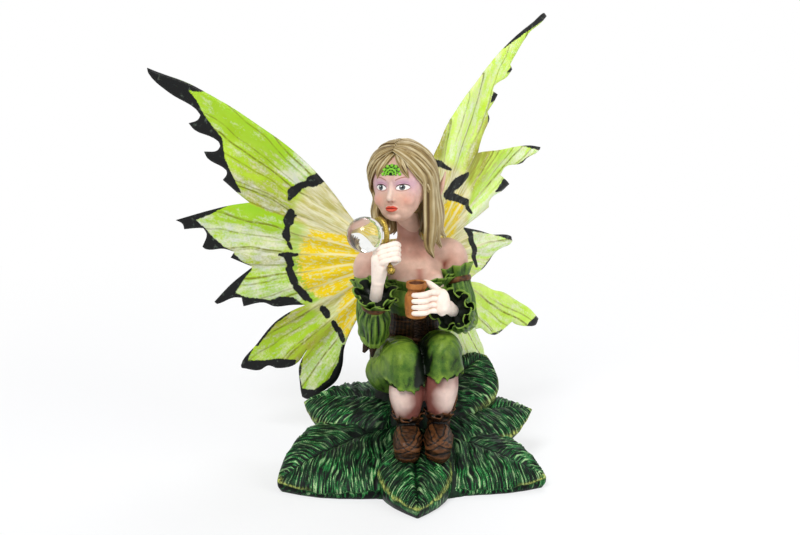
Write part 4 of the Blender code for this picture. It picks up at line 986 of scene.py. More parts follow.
def lip_coats(x, z, front):
    """Red lips with a dark line between them and a painted highlight on the middle of the lower one."""
    over = z - MOUTH_HEIGHT
    shape = np.clip(1 - (x / MOUTH_HALF_WIDTH) ** 2, 0, 1)
    bow = 0.92 * shape**0.6 - 0.2 * bell(x / 0.36)
    low = -1.12 * shape**0.55
    lips = smoothstep(0.0, 0.12, np.minimum(bow - over, over - low)) * (np.abs(x) < MOUTH_HALF_WIDTH) * front
    return (
        (rgb(206, 74, 54), lips),
        (rgb(120, 26, 22), lips * smoothstep(0.16, 0.05, np.abs(over))),
        # Painted highlight on the lower lip
        (rgb(232, 132, 108), 0.6 * lips * bell((over + 0.6) / 0.25, x / 0.9)),
    )


def face_colours(local, hollow):
    """Skin with painted shade in its hollows, lilac over the eyes and at the temples, blush, a painted
    highlight down the nose, painted shade in the nostrils, eyes, brows and lips.
    """
    x, y, z = local.T
    ax = np.abs(x)
    front = y < -2.5
    return layered(
        # Painted shade in the hollows
        blended(SKIN, SKIN_SHADE, np.clip(0.5 * hollow, 0, 0.6)),
        (LILAC, 0.8 * bell((ax - EYE_SPREAD) / 2.9, (z - EYE_HEIGHT - 1.3) / 1.7) * front),
        (LILAC, 0.35 * bell((ax - 6.4) / 1.8, (z - 1.0) / 4.0) * front),
        (BLUSH, 0.5 * bell((ax - 4.4) / 2.0, (z + 3.6) / 1.8) * front),
        # Painted highlight down the nose
        (PALE_SKIN_AND_HIGHLIGHT, 0.5 * bell(x / 0.9, (z + 1.6) / 2.4) * front),
        # Painted shade in the nostrils
        (rgb(150, 80, 66), 0.8 * bell((ax - 0.62) / 0.32, (z + 3.95) / 0.28) * front),
        *eye_coats(x, z, front),
        brow_coat(x, z, front),
        *lip_coats(x, z, front),
    )


def refine_front(obj, low, high):
    """Splits the faces of a region, given in the face's own axes, for finer painting."""
    points, _, _ = arrays(obj)
    local = (points - np.asarray(HEAD_CENTRE)) @ head_axes(FACE_PITCH)
    chosen = np.all((local > low) & (local < high), axis=1)
    bm = bmesh.new()
    bm.from_mesh(obj.data)
    bm.verts.ensure_lookup_table()
    edges = [e for e in bm.edges if chosen[e.verts[0].index] and chosen[e.verts[1].index]]
    bmesh.ops.subdivide_edges(bm, edges=edges, cuts=1, use_grid_fill=True)
    bm.to_mesh(obj.data)
    bm.free()
    obj.data.shade_smooth()


def head_piece(look):
    """Skull, jaw, chin, cheeks, mouth, nose and neck, with the face pushed out and painted."""
    axes = head_axes(FACE_PITCH)
    w, d, h = HEAD_SIZE

    def blob(x, y, z, rx, ry, rz):
        return ellipsoid(face_place(x, y, z), (rx, ry, rz), axes)

    nose = [face_place(0, 1.6 - d, 1.4), face_place(0, 0.8 - d, -0.9), face_place(0, 0.05 - d, -2.9)]
    shapes = [
        blob(0, 0.5, 1.6, w, d - 0.8, h - 1.8),
        blob(0, -2.3, -2.2, 7.2, 6.2, 7.4),
        blob(0, -3.0, -5.8, 5.5, 4.8, 4.4),
        blob(0, -5.9, -8.3, 2.3, 1.9, 1.7),
        blob(-3.8, -5.2, -3.2, 2.8, 2.2, 2.7),
        blob(3.8, -5.2, -3.2, 2.8, 2.2, 2.7),
        blob(0, -6.5, -6.0, 2.6, 1.8, 2.1),
        tube(nose, [0.7, 0.72, 0.95]),
        blob(-0.85, 0.95 - d, -3.4, 0.62, 0.75, 0.55),
        blob(0.85, 0.95 - d, -3.4, 0.62, 0.75, 0.55),
        tube([face_place(0, 1.5, -5), head_place(0.2, 2.4, -13)], [3.5, 3.3]),
    ]
    obj = new_piece("head", merged(shapes), look["skin"])
    fuse(obj)
    refine_front(obj, (-6.8, -30, -8.6), (6.8, -3.0, 5.0))
    points, normals, _ = arrays(obj)
    local = (points - np.asarray(HEAD_CENTRE)) @ axes
    facing = np.clip(-(normals @ axes[:, 1]), 0, 1)
    push = face_push(local[:, 0], local[:, 2]) * smoothstep(0.25, 0.6, facing)
    points = points - np.outer(push, axes[:, 1])
    place(obj, points)
    # Painted shade in the hollows of the face
    hollow = np.clip(-relief_of(obj, 24, 0.35), 0, 1)
    colour(obj, "paint", face_colours((points - np.asarray(HEAD_CENTRE)) @ axes, hollow))


def ear_pieces(look):
    """The pointed ear that shows through the hair, with a hollow inside its rim."""
    low, tip = vec(8.4, 1.6, 88.6), vec(10.3, 2.8, 95.2)
    middle = between(low, tip, 0.45)
    shapes = [tube([low, middle, tip], [1.2, 1.35, 0.3], 24, 30, flatten=0.55, guide=(1, 0.3, 0))]
    for hand in (-0.75, 0.75):
        rim = [low + (0.1, 0.0, -0.4), middle + (0.1, hand, 0.2), tip + (0, 0, 0.1)]
        shapes.append(tube(rim, [0.45, 0.42, 0.25], 14))
    obj = new_piece("ear", merged(shapes), look["skin"])
    fuse(obj)
    # Painted shade in the ear's hollows
    painted_shade = np.clip(-relief_of(obj, 20, 0.2), 0, 1)
    colour(obj, "paint", blended(SKIN, SKIN_SHADE, 0.8 * painted_shade))


def forehead(x, z, lift=0.0):
    """A point over the forehead, in the face's own axes."""
    w, d, h = HEAD_SIZE[0], HEAD_SIZE[1] - 0.8, HEAD_SIZE[2] - 1.8
    inside = max(0.02, 1 - (x / w) ** 2 - ((z - 1.6) / h) ** 2)
    return face_place(x, 0.5 - d * math.sqrt(inside) - lift, z)


def ornament_piece():
    """A small half-round rosette on the forehead: rounded petals, arcs and beads over dark paint."""
    axes = head_axes(FACE_PITCH)

    def on_plate(share, a, lift):
        return forehead(2.7 * share * math.cos(a), 5.6 + 1.7 * share * math.sin(a), lift)

    def on_arc(reach, angle, lift):
        a = math.radians(angle)
        return forehead(reach * math.cos(a), 4.4 + 0.95 * reach * math.sin(a), lift)

    plate = ((0.1, -0.6), (0.9, -0.6), (1.0, -0.05), (0.9, 0.12), (0.5, 0.12), (0.1, 0.12))
    turns = np.linspace(0, 2 * math.pi, 40, endpoint=False)
    shapes = [loft([np.array([on_plate(share, a, lift) for a in turns]) for share, lift in plate])]
    under = len(shapes[0][0])
    for reach, width in ((0.75, 0.24), (1.65, 0.28)):
        path = [on_arc(reach, angle, 0.3) for angle in range(-10, 191, 20)]
        shapes.append(tube(path, [width] * len(path), 12, 40))
    petals = (2.7, range(0, 181, 30), 0.55)
    inner_beads, outer_beads = (1.2, range(10, 171, 40), 0.2), (2.15, range(15, 166, 30), 0.22)
    for reach, angles, size in (petals, inner_beads, outer_beads):
        for angle in angles:
            shapes.append(ellipsoid(on_arc(reach, angle, 0.15), (size, 0.45, size), axes, 16, 10))
    greens = rgb(128, 196, 56), rgb(78, 150, 34), rgb(16, 44, 12)
    look = wash_and_shade_paint("ornament_paint", *greens, 1.6, 0.42, 0.25)
    obj = new_piece("forehead_ornament", merged(shapes), look)
    relief = np.clip(relief_of(obj, 6, 0.1) + 0.15, -0.4, 1)
    relief[:under] = -1.1
    value(obj, "relief", relief)


# Hair
# Side, turn around the head in degrees from the front, and where a lock with that turn ends
LOCK_ENDS = (
    (-1, 66, (-12.7, -1.4, 80.0)), (-1, 84, (-12.9, 1.2, 78.0)), (-1, 100, (-12.2, 4.2, 76.5)),
    (-1, 130, (-8.5, 8.2, 75.0)), (-1, 158, (-3.6, 9.8, 73.0)), (-1, 180, (-0.5, 10.6, 72.0)),
    (1, 60, (5.6, -3.8, 69.0)), (1, 78, (7.4, -2.4, 70.2)), (1, 92, (9.8, 0.4, 73.4)),
    (1, 108, (10.6, 3.0, 75.4)), (1, 135, (6.4, 8.6, 74.0)), (1, 160, (2.6, 10.4, 73.0)),
    (1, 180, (0.2, 10.6, 72.0)),
)


def lock_end(hand, turn):
    rows = [(t, e) for h, t, e in LOCK_ENDS if h == hand]
    turns = [t for t, _ in rows]
    return np.array([np.interp(turn, turns, [e[k] for _, e in rows]) for k in range(3)])


def lock_path(hand, turn, out=0.0, short=0.0, seed=0):
    """From the parting over the head to the end of a lock."""
    w, d, h = HEAD_SIZE
    radii = vec(w + HAIR_THICKNESS + out, d + 0.2 + out, h + 0.3 + out)
    a, rise = math.radians(turn), math.radians(24 - 44 * float(smoothstep(70, 180, turn)))
    parting = unit(vec(0.04 * hand, -math.sin(rise), math.cos(rise)))
    side = vec(hand * math.sin(a), -math.cos(a), 0)
    apart = math.acos(np.clip(parting @ side, -1, 1))
    path = []
    for share in (0.0, 0.22, 0.46, 0.72, 1.0):
        way = parting * math.sin((1 - share) * apart) + side * math.sin(share * apart)
        path.append(head_place(*(way / math.sin(apart) * radii + (0, 3.0, 2.2))))
    end = lock_end(hand, turn)
    cheek = head_place(*(side * radii * 0.97 + (0, 3.2, -4.0)))
    path.append(cheek)
    path.append(between(cheek, end, 0.45) + vec(0.4 * math.sin(seed) - 0.3 * hand, -0.4, 0))
    path.append(between(cheek, end, 0.8 - short) + vec(-1.0 * hand, -0.5, 0))
    path.append(between(end, cheek, short))
    return path


def strands(share, angle, seed):
    """Fine strands along a lock: -1 in the grooves between them, 1 on top."""
    return 1.5 * noise(around(angle, 2.9, 7.3 * seed, 3.0 * share), 1.0, 90, 2)


def away_from_head(hand, turn):
    """The way that a lock faces, over its turn around the head."""
    a = math.radians(turn)
    return head_axes() @ vec(0.7 * hand * math.sin(a), -0.7 * math.cos(a), 0.7)


def hair_lock(path, radii, seed, guide, sides=44, flatten=0.45):
    """A tapering lock and how high each of its points lies on the strands."""
    def ripple(share, angle):
        return 0.13 * strands(share, angle, seed)

    steps = 40
    shape = tube(path, radii, sides, steps, flatten, guide, ripple)
    # The first rows close the lock's round end
    shares = np.clip((np.arange(len(shape[0]) // sides) - 5) / (steps - 1), 0, 1)
    return shape, np.concatenate([strands(share, full_turn(sides), seed) for share in shares])


def side_locks(hand):
    """Broad locks around one side of the head and narrower ones over them."""
    first = 76 if hand < 0 else 71
    shift = 20 if hand > 0 else 0
    for k, turn in enumerate(np.linspace(first, 172, 7)):
        swell = 1 + 0.12 * math.sin(2.4 * k + hand)
        radii = [r * swell for r in (1.1, 1.9, 2.3, 2.5, 2.5, 2.5, 2.4, 1.9, 0.4)]
        yield hair_lock(lock_path(hand, turn, -0.4, 0.0, k), radii, k + shift, away_from_head(hand, turn))
    for k, turn in enumerate(np.linspace(first + 3, 168, 9)):
        swell = 1 + 0.2 * math.sin(3.1 * k)
        radii = [r * swell for r in (0.6, 1.0, 1.2, 1.25, 1.3, 1.3, 1.2, 0.9, 0.2)]
        lift, short = 0.1 + 0.15 * math.sin(2.3 * k), 0.1 + 0.1 * math.sin(5 * k)
        path = lock_path(hand, turn, lift, short, k + 3)
        yield hair_lock(path, radii, 10 + k + shift, away_from_head(hand, turn), sides=30)


def front_locks(hand):
    """The two locks that sweep from the parting past the temple."""
    ahead = head_axes() @ vec(0, -0.8, 0.5)
    tip = 5.3 if hand > 0 else 4.8
    spots = ((0.3, 10.9, 1.3), (1.5, 9.5, 1.0), (3.1, 7.2, 0.8), (4.4, 4.9, 0.6), (tip, 3.1, 0.4))
    path = [forehead(hand * x, z, lift) for x, z, lift in spots]
    yield hair_lock(path, [0.8, 1.1, 1.2, 0.85, 0.12], 40 + hand, ahead, flatten=0.6)
    spots = ((0.7, 11.0, 1.9), (3.8, 9.3, 1.7), (6.4, 6.2, 1.5))
    path = [forehead(hand * x, z, lift) for x, z, lift in spots]
    path += [head_place(hand * 9.2, -1.4, 1.6), head_place(hand * 9.6, 0.0, -3.0)]
    yield hair_lock(path, [0.9, 1.4, 1.5, 1.3, 0.5], 44 + hand, away_from_head(hand, 55), flatten=0.5)


def hair_piece(look):
    """Broad locks with fine strands over a cap, parted in the middle."""
    w, d, h = HEAD_SIZE
    cap_axes = head_axes(-2.0)
    cap_middle = np.asarray(HEAD_CENTRE) + cap_axes @ vec(0, 3.9, 2.0)
    cap = ellipsoid(cap_middle, (w + HAIR_THICKNESS - 0.4, d - 0.6, h + 0.1), cap_axes, 72, 40)
    # The cap shows between the locks and is painted darker, as painted shade
    locks = [(cap, np.full(len(cap[0]), -0.5))]
    for hand in (-1, 1):
        locks += side_locks(hand)
    for hand in (-1, 1):
        locks += front_locks(hand)
    points, faces = merged([shape for shape, _ in locks])
    obj = new_piece("hair", (points, faces), look["hair"])
    ridge = np.concatenate([ridges for _, ridges in locks]) + 0.3 * noise(points, 1.6, 21)
    # Painted highlight on the strands' tops and painted shade in the grooves between them
    colour(obj, "paint", layered(
        np.broadcast_to(HAIR_MID, (len(points), len(HAIR_MID))),
        (HAIR_LIGHT, 0.9 * smoothstep(0.05, 0.6, ridge)),
        (HAIR_DARK, smoothstep(-0.1, -0.65, ridge)),
    ))


# Clothes
def gathered(depth, seed, folds=4.3):
    """Uneven gathers along a tube: deep at its ends and shallower in its middle."""
    def ripple(share, angle):
        near_end = 0.5 + 0.5 * abs(2 * share - 1) ** 1.5
        return depth * near_end * (1.5 * noise(around(angle, folds, 9 * seed, 1.7 * share), 1.0, 71, 2) + 0.1)
    return ripple


def ruffle(centre, axis, start, end, length, wall=0.45, waves=7, depth=1.0, side=None, sides=160):
    """A flared frill with rolling folds and a thin rim. Returns its shape and where its inside is painted
    dark as shade.

    start and end are its radii at the seam and at the rim, along side and across it.
    """
    axis = unit(axis)
    across = unit(np.cross(axis, (0.2, 0.9, 0.1))) if side is None else side
    along_axis = np.cross(axis, across)
    angle = full_turn(sides)
    wave = np.sin(waves * angle + 0.5 * np.sin(2 * angle)) * (1 + 0.3 * np.cos(3 * angle + 1))
    rings, inner = [], []

    def ring(share, inset, dark):
        turned = angle - 0.5 * share / waves * np.sin(2 * waves * angle)
        grow = depth * share**1.2 * wave - inset
        a, b = (np.maximum(s + (e - s) * share**1.2 + grow, 0.2) for s, e in zip(start, end))
        h = length * share + 0.5 * depth * share**2 * np.sin(waves * angle + 1.4)
        offset = np.outer(a * np.cos(turned), across) + np.outer(b * np.sin(turned), along_axis)
        rings.append(np.asarray(centre) + offset + np.outer(h, axis))
        inner.append(np.full(sides, dark))

    for share in np.linspace(0, 1, 10):
        ring(share, 0.0, 0.0)
    # The inner wall, with the share of painted shade on each ring
    for share, dark in ((1.0, 0.0), (0.94, 0.3), (0.84, 0.8), (0.7, 1.0), (0.55, 1.0), (0.42, 1.0)):
        ring(share, wall, dark)
    ring(0.4, min(start) * 0.8, 1.0)
    return loft(rings), np.concatenate(inner)


def band(centre, axis, radius):
    """A rounded band tied around a sleeve."""
    half_width, thickness = 0.9, 0.45
    axis = unit(axis)
    across = unit(np.cross(axis, (0.2, 0.9, 0.1)))
    ahead = np.cross(axis, across)
    rings = []
    for a in np.linspace(0, math.pi, 9):
        reach = radius + thickness * math.sin(a)
        rings.append(circle(centre - axis * half_width * math.cos(a), across, ahead, reach, reach, 60))
    return loft(rings)


def sleeves(look):
    """Puffed upper and lower sleeves with a frill at the shoulder, two at the cuff and two ties."""
    r, flare, length = SLEEVE_RADIUS, CUFF_FLARE, CUFF_LENGTH
    for name, arm, seed in (("right", RIGHT_ARM, 0.0), ("left", LEFT_ARM, 2.0)):
        shoulder, elbow, cuff, upper, lower = arm_directions(arm)
        gather = between(shoulder, elbow, GATHER_SHARE)
        upper_arm = [gather, between(gather, elbow, 0.5), elbow]
        forearm = [elbow, between(elbow, cuff, 0.5), cuff - lower * 3.0]
        second = lower + vec(0.12, 0.1, 0)
        pieces = [
            (tube(upper_arm, [r - 0.7, r + 0.3, r - 0.4], 120, 48, ripple=gathered(0.17, seed)), None),
            (tube(forearm, [r - 0.4, r + 0.2, r - 1.0], 120, 48, ripple=gathered(0.19, seed + 1)), None),
            ruffle(gather + upper * 1.6, -upper, (r - 0.4,) * 2, (flare - 0.7,) * 2, length - 0.6),
            ruffle(cuff - lower * 0.6, lower, (r - 0.9,) * 2, (flare - 0.2,) * 2, length - 0.4, depth=1.1),
            ruffle(cuff - lower * 1.0, second, (r - 0.8,) * 2, (flare - 0.1,) * 2, length - 2.2,
                   waves=6, depth=0.9),
        ]
        frills(pieces, "sleeve_" + name, look)
        ties = [band(gather + upper * 1.4, upper, r - 0.1), band(cuff - lower * 0.9, lower, r - 0.6)]
        obj = new_piece("ties_" + name, merged(ties), look["brown"])
        value(obj, "relief", noise(arrays(obj)[0], 0.8, 6) * 0.7)


def frills(pieces, name, look):
    """Joins cloth shapes and paints shade into the insides of their frills."""
    dark = [np.zeros(len(shape[0])) if inner is None else inner for shape, inner in pieces]
    obj = new_piece(name, merged([shape for shape, _ in pieces]), look["cloth"])
    relief = relief_of(obj, 8, 0.2)
    # Painted shade inside the frills, over the groove wash
    value(obj, "relief", np.clip(relief - 0.1 - 1.4 * np.concatenate(dark), -1.2, 1))


def bodice(look):
    """A ribbed bodice, laced down its front."""
    side, back = body_side(), body_back()
    rows = spline(((0.6, 7.4, 40.0, 9.5, 8.1), (0.8, 5.4, 46.0, 8.6, 7.2), (0.9, 4.2, 52.0, 8.3, 6.7)), 40)
    sides = 160
    angle = full_turn(sides)
    rings = []
    for k, r in enumerate(rows):
        seam = 0.45 * np.abs(noise(around(angle, 1.4, 0.0, 0.42 * k), 1.0, 77)) + 0.05 * np.cos(40 * angle)
        rings.append(circle(r[:3], side, back, r[3], r[4], sides, seam))
    obj = new_piece("bodice", loft(rings), look["bodice"])
    value(obj, "relief", relief_of(obj, 8, 0.12))
    lacing(rows, side, back, look)


def lacing(rows, side, back, look):
    """Crossed laces between two raised edges."""
    pitch = 0.9
    laces = []
    for k in range(12):
        low, high = 43.0 + pitch * k, 43.0 + pitch + pitch * k
        for hand in (-1, 1):
            a = lace_point(rows, low, hand * 1.9, side, back)
            b = lace_point(rows, high, -hand * 1.9, side, back)
            middle = between(a, b, 0.5) - back * (0.25 + 0.2 * (hand > 0))
            laces.append(tube([a, middle, b], [0.26, 0.28, 0.26], 10, 10))
    for hand in (-1, 1):
        edge = [lace_point(rows, z, hand * 2.3, side, back) for z in (42, 45, 48, 51.5)]
        laces.append(tube(edge, [0.35, 0.45, 0.45, 0.35], 14, 40))
    obj = new_piece("lacing", merged(laces), look["bodice"])
    value(obj, "relief", noise(arrays(obj)[0], 0.7, 3) * 0.6)


def lace_point(rows, z, across, side, back):
    """A point on the bodice's front, across from its middle."""
    r = [np.interp(z, rows[:, 2], rows[:, k]) for k in (0, 1, 3, 4)]
    depth = r[3] * math.sqrt(max(0.0, 1 - (across / r[2]) ** 2)) + 0.1
    return vec(r[0], r[1], z) + side * across - back * depth


def bust_cloth(centre):
    """Creased cloth over one side of the bust."""
    sides, levels = 80, 22
    turn = full_turn(sides)
    rings = []
    for k in range(levels):
        polar = math.pi * (0.02 + 0.62 * k / (levels - 1))
        r, h = math.sin(polar), -math.cos(polar)
        crease = 0.16 * noise(around(turn, 3, 0.0, 1.5 * h), 1.0, 75) * r
        level = centre + vec(0, 0, 4.6 * h)
        rings.append(circle(level, (1, 0, 0), (0, 1, 0), 4.7 * r, 4.4 * r, sides, crease))
    return loft(rings)


def bust_and_collar(look):
    """The pleated top of the dress, with two frills as its collar."""
    side, back = body_side(), body_back()
    pieces = []
    for hand in (-1, 1):
        pieces.append((bust_cloth(vec(0.9, 2.9, 58.0) + side * hand * 4.4 - back * 4.2), None))
    rows = spline(((0.9, 4.5, 50.0, 8.2, 6.6), (1.0, 3.6, 55.0, 9.3, 8.2), (1.0, 3.0, 60.5, 10.4, 9.0)), 20)
    sides = 160
    rings = []
    for k, r in enumerate(rows):
        pleats = 0.3 * noise(around(full_turn(sides), 6, 0.0, 0.07 * k), 1.0, 76)
        rings.append(circle(r[:3], side, back, r[3], r[4], sides, pleats))
    pieces.append((loft(rings), None))
    for lift, waves, grow in ((59.8, 11, 1.9), (59.0, 9, 2.0)):
        start, end = (10.2, 9.0), (10.2 + grow, 8.7 + grow)
        pieces.append(ruffle((0.7, 3.0, lift), (0.05, 0, 1), start, end, 3.6, 0.4, waves, 0.75, side, 260))
    frills(pieces, "dress_top", look)


def belt(look):
    """A knotted belt whose tails hang by the hip."""
    side, back = body_side(), body_back()

    def around_waist(a, k, drop):
        flat = side * (9.6 + 0.2 * k) * math.cos(a) + back * (8.2 + 0.2 * k) * math.sin(a)
        return vec(0.5, 7.0, 42.6 - drop) + flat + vec(0, 0, 0.5 * math.sin(2 * a + k))

    shapes = []
    for k, drop in enumerate((0.0, 1.3, 2.5)):
        loop = [around_waist(a, k, drop) for a in np.linspace(0, 2 * math.pi, 60)]
        shapes.append(tube(loop, [0.75] * len(loop), 12, 120))
    shapes.append(ellipsoid((-9.6, -1.8, 43.6), (1.5, 1.3, 1.6)))
    tails = (
        (1.5, ((-9.5, -1.5, 44.4), (-13.0, -3.0, 43.0), (-15.0, -4.0, 39.5))),
        (1.2, ((-9.5, -2.2, 43.6), (-11.8, -4.0, 41.4), (-12.4, -4.6, 38.2))),
    )
    for width, path in tails:
        radii = [width, width * 1.15, width * 0.3]
        shapes.append(tube(path, radii, 40, 30, 0.45, (0, 1, 0), gathered(0.3, width, 2.0)))
    obj = new_piece("belt", merged(shapes), look["bodice"])
    value(obj, "relief", relief_of(obj, 10, 0.15))


def trouser_leg(hip, knee, ankle):
    """One leg's cloth from the hip to below the knee."""
    down, thigh = unit(ankle - knee), unit(knee - hip)
    bend = knee + down * 0.6 - thigh * 0.3
    path = [hip, between(hip, knee, 0.5), knee - thigh * 3.5, bend, knee + down * 5]
    radii = [THIGH_RADIUS, THIGH_RADIUS - 0.7, KNEE_RADIUS - 0.2, KNEE_RADIUS - 0.8, KNEE_RADIUS - 0.6]
    return tube(path, radii, 72, 80)


def hem(hip, knee, ankle, lowest, depth, hang):
    """The flared end of one leg, cut into ragged points that hang lowest at the angle named."""
    down = unit(ankle - knee)
    across = unit(np.cross(down, (0, 1, 0)))
    front = np.cross(across, down)
    angle = full_turn(180)
    tatter = noise(around(angle, 3.6, hip[0], 0.0), 0.9, 35, 2)
    lobes = bell(((angle - lowest + math.pi) % (2 * math.pi) - math.pi) / 0.8)
    profile = (
        (0.0, KNEE_RADIUS - 1.9), (0.3, KNEE_RADIUS - 0.9), (0.55, HEM_RADIUS - 0.7),
        (0.8, HEM_RADIUS - 0.4), (1.0, HEM_RADIUS), (1.0, HEM_RADIUS - 0.9),
    )
    rings = []
    for share, radius in profile:
        drop = hang * share + share**3 * (depth * lobes + 3.6 * np.abs(tatter))
        wave = 0.35 * share * np.cos(4 * angle + 0.8) + 0.5 * share * np.abs(tatter) + 0.25 * lobes * share
        reach = radius + wave
        ring = knee + np.outer(reach * np.cos(angle), across) + np.outer(reach * np.sin(angle), front)
        rings.append(ring + np.outer(drop, down))
    return loft(rings)


def trouser_folds(points, hip_front, low):
    """Creases behind the knees and hanging folds, in millimetres."""
    crease = np.zeros(len(points))
    for leg in (RIGHT_LEG, LEFT_LEG):
        away = points - np.asarray(leg[1]) - vec(0, 5, 0)
        near = np.exp(-((np.linalg.norm(away, axis=1) / 9.0) ** 4))
        fan = np.arctan2(away[:, 2], away[:, 1])
        crease += near * np.cos(9 * fan + 2 * noise(points, 5, 31)) * smoothstep(-6.0, 0.0, away[:, 1])
    drape = 1.8 * np.abs(noise(points * (1, 1, 0.35), 3.6, 34)) - 0.4
    return 0.16 * crease + 0.1 * noise(points, 1.7, 33) + (0.3 + 0.25 * low - 0.25 * hip_front) * drape


def trousers(look):
    """Trousers to below the knee, cut at the hem into ragged leaf points."""
    seat_axes = np.column_stack([body_side(), body_back(), (0, 0, 1)])
    shapes = [
        ellipsoid((0.8, 9.6, 33.5), (12.4, 10.2, 9.0), seat_axes),
        ellipsoid((-5.9, -0.7, 32.4), (8.5, 8.8, 7.2)),
        tube([(-6.4, -1.0, 32.8), (-5.0, -7.0, 35.0), (-3.4, -12.0, 37.0)], [7.6, 6.7, 5.4], 72, 60),
    ]
    for leg, *shape_of_hem in ((RIGHT_LEG, -1.25, 2.8, 5.4), (LEFT_LEG, -2.1, 2.0, 4.9)):
        joints = [np.asarray(joint, float) for joint in leg]
        shapes += [trouser_leg(*joints), hem(*joints, *shape_of_hem)]
    obj = new_piece("trousers", merged(shapes), look["trousers"])
    fuse(obj)
    points, normals, _ = arrays(obj)
    low = smoothstep(38, 31, points[:, 2])
    hip_front = smoothstep(-3.5, -8.5, points[:, 0]) * smoothstep(8.0, 1.0, points[:, 1])
    points = points + normals * trouser_folds(points, hip_front, low)[:, None]
    place(obj, points)
    # Painted light over the wash: lighter on upward faces and at the front of the hip, painted shade lower
    # down, between the legs and on the sides
    middle = np.interp(points[:, 2], (20, 42), (3.5, 3.1))
    between_legs = bell((points[:, 0] - middle) / 1.9) * (points[:, 1] < -3)
    relief = relief_of(obj, 17, 0.34) + 0.45 * normals[:, 2] - 0.25 - 0.2 * low - 0.9 * between_legs
    relief += 0.45 * hip_front - 0.3 * smoothstep(0.2, 0.9, np.abs(normals[:, 0])) * (1 - hip_front)
    value(obj, "relief", np.clip(relief, -1.2, 1))


def boot(ankle, hand):
    """One boot's shapes: foot, sole, shaft, two ragged tops and a tab by the shin."""
    w = BOOT_HALF_WIDTH
    heel = vec(ankle[0], ankle[1] + 1.2, BOOT_SOLE_HEIGHT + 3.6)
    toe = vec(ankle[0] - 0.3, ankle[1] + 4.4 - BOOT_LENGTH, BOOT_SOLE_HEIGHT + 3.2)
    instep = between(heel, toe, 0.5) + (0, 0, 0.9)
    sole = [between(heel, toe, 0.3) - (0, 0, 1.4), toe - (0, -0.2, 1.3)]
    shapes = [
        tube([heel, instep, toe], [w - 1.1, w - 0.4, w - 0.9], 80, 60),
        tube(sole, [w - 0.8, w - 0.9], 80, 40),
        tube([heel, ankle + (0, 0, 1.5)], [w - 1.2, w - 1.5], 80, 40),
    ]
    for lift, waves in ((0.6, 6), (-0.4, 5)):
        up = (0.04 * waves - 0.2, -0.05, 1)
        top, _ = ruffle(ankle + (0, 0, lift), up, (w - 1.5,) * 2, (w - 0.2,) * 2, 2.4, 0.6, waves, 0.7)
        shapes.append(top)
    x, y = ankle[0] + hand * 4.7, ankle[1]
    tab = (vec(x, y + 4.2, 30), vec(x + 0.1 * hand, y + 3.3, 27), vec(x - 0.5 * hand, y + 2.5, 23.5))
    return shapes + [tube(tab, [0.5, 1.2, 1.1], 20, 24, 0.6)]


def boots(look):
    """Soft boots with round toes, crossed straps and ragged tops."""
    w = BOOT_HALF_WIDTH
    right, left = (np.asarray(leg[2], float) for leg in (RIGHT_LEG, LEFT_LEG))
    obj = new_piece("boots", merged(boot(right, -1) + boot(left, 1)), look["boot"])
    fuse(obj)
    points, normals, _ = arrays(obj)
    cut_in = np.zeros(len(points))
    bend = 0.5 * noise(points, 2.2, 43)
    for ankle in (right, left):
        x, y, z = (points - ankle).T
        near = (np.abs(x) < w + 0.6) & (z < 1.5)
        front = smoothstep(-1.0, -3.0, y)
        for tilt, level, wide in ((0.5, -3.2, 0.8), (-0.6, -3.0, 0.9)):
            off = z - level - tilt * x - 0.1 * (y + 6) + bend
            cut_in += near * front * 0.14 * smoothstep(wide, wide - 0.3, np.abs(off))
            cut_in -= near * front * 0.12 * bell((np.abs(off) - wide) / 0.2)
        cut_in -= near * 0.16 * bell((z + 7.4 + bend) / 0.25)
    wrinkle = np.abs(noise(points * (0.5, 0.5, 1.5), 1.5, 41)) - 0.3
    place(obj, points + normals * (cut_in + 0.42 * wrinkle * smoothstep(11, 13, points[:, 2]))[:, None])
    # Grooves by the straps and the sole seam are painted darker and the straps lighter, as wash and dry
    # brushing that also paint shade and highlight
    value(obj, "relief", np.clip(relief_of(obj, 11, 0.2) + 1.6 * cut_in - 0.15, -1.2, 1))


# Wand, ball and pot
def ring_normal():
    a = math.radians(RING_TURN)
    return vec(-math.cos(a), -math.sin(a), 0)


def stem_direction():
    a, lean = math.radians(RING_TURN), math.radians(STEM_LEAN)
    return vec(math.sin(a), -math.cos(a), 0) * math.sin(lean) - vec(0, 0, 1) * math.cos(lean)


def gold_look():
    n = Nodes("old_gold")
    relief = n.attribute("relief")
    fine = n.noise(0.3, 3.0)
    relief_and_grain = n.plus(relief, n.about_zero(fine, 0.8))
    base = n.mix(n.stretch(relief_and_grain, -0.4, 0.4), rgb(44, 33, 8), rgb(158, 134, 60))
    n.bump(n.noise(0.25, 3.0), 0.03, 0.5)
    return n.finish(base, n.stretch(fine, 0.3, 0.7, 0.2, 0.38), Metallic=0.9, Specular_IOR_Level=0.5)


def beaded_ring(centre, normal, down):
    """The ring of the wand, its wire swelling into small beads."""
    across = np.cross(normal, down)
    rings, sides = 300, 16
    points, faces = [], []
    for k in range(rings):
        a = 2 * math.pi * k / rings
        out = down * math.cos(a) + across * math.sin(a)
        wire = RING_WIRE - 0.1 + 0.1 * abs(math.cos(30 * a))
        points.append(circle(centre + out * RING_RADIUS, out, normal, wire, wire, sides))
        for j in range(sides):
            m, n = k * sides, ((k + 1) % rings) * sides
            faces.append((m + j, m + (j + 1) % sides, n + (j + 1) % sides, n + j))
    return np.vstack(points), faces


def knob(middle):
    """The carved knob at the end of the stem."""
    points, faces = ellipsoid(middle, [FINIAL_RADIUS - 0.12] * 3, sides=60, levels=40)
    away = points - middle
    turn, height = np.arctan2(away[:, 1], away[:, 0]), away[:, 2] / FINIAL_RADIUS
    carving = 0.09 * np.cos(8 * turn) * np.cos(7 * height)
    return points + unit_rows(away) * carving[:, None], faces


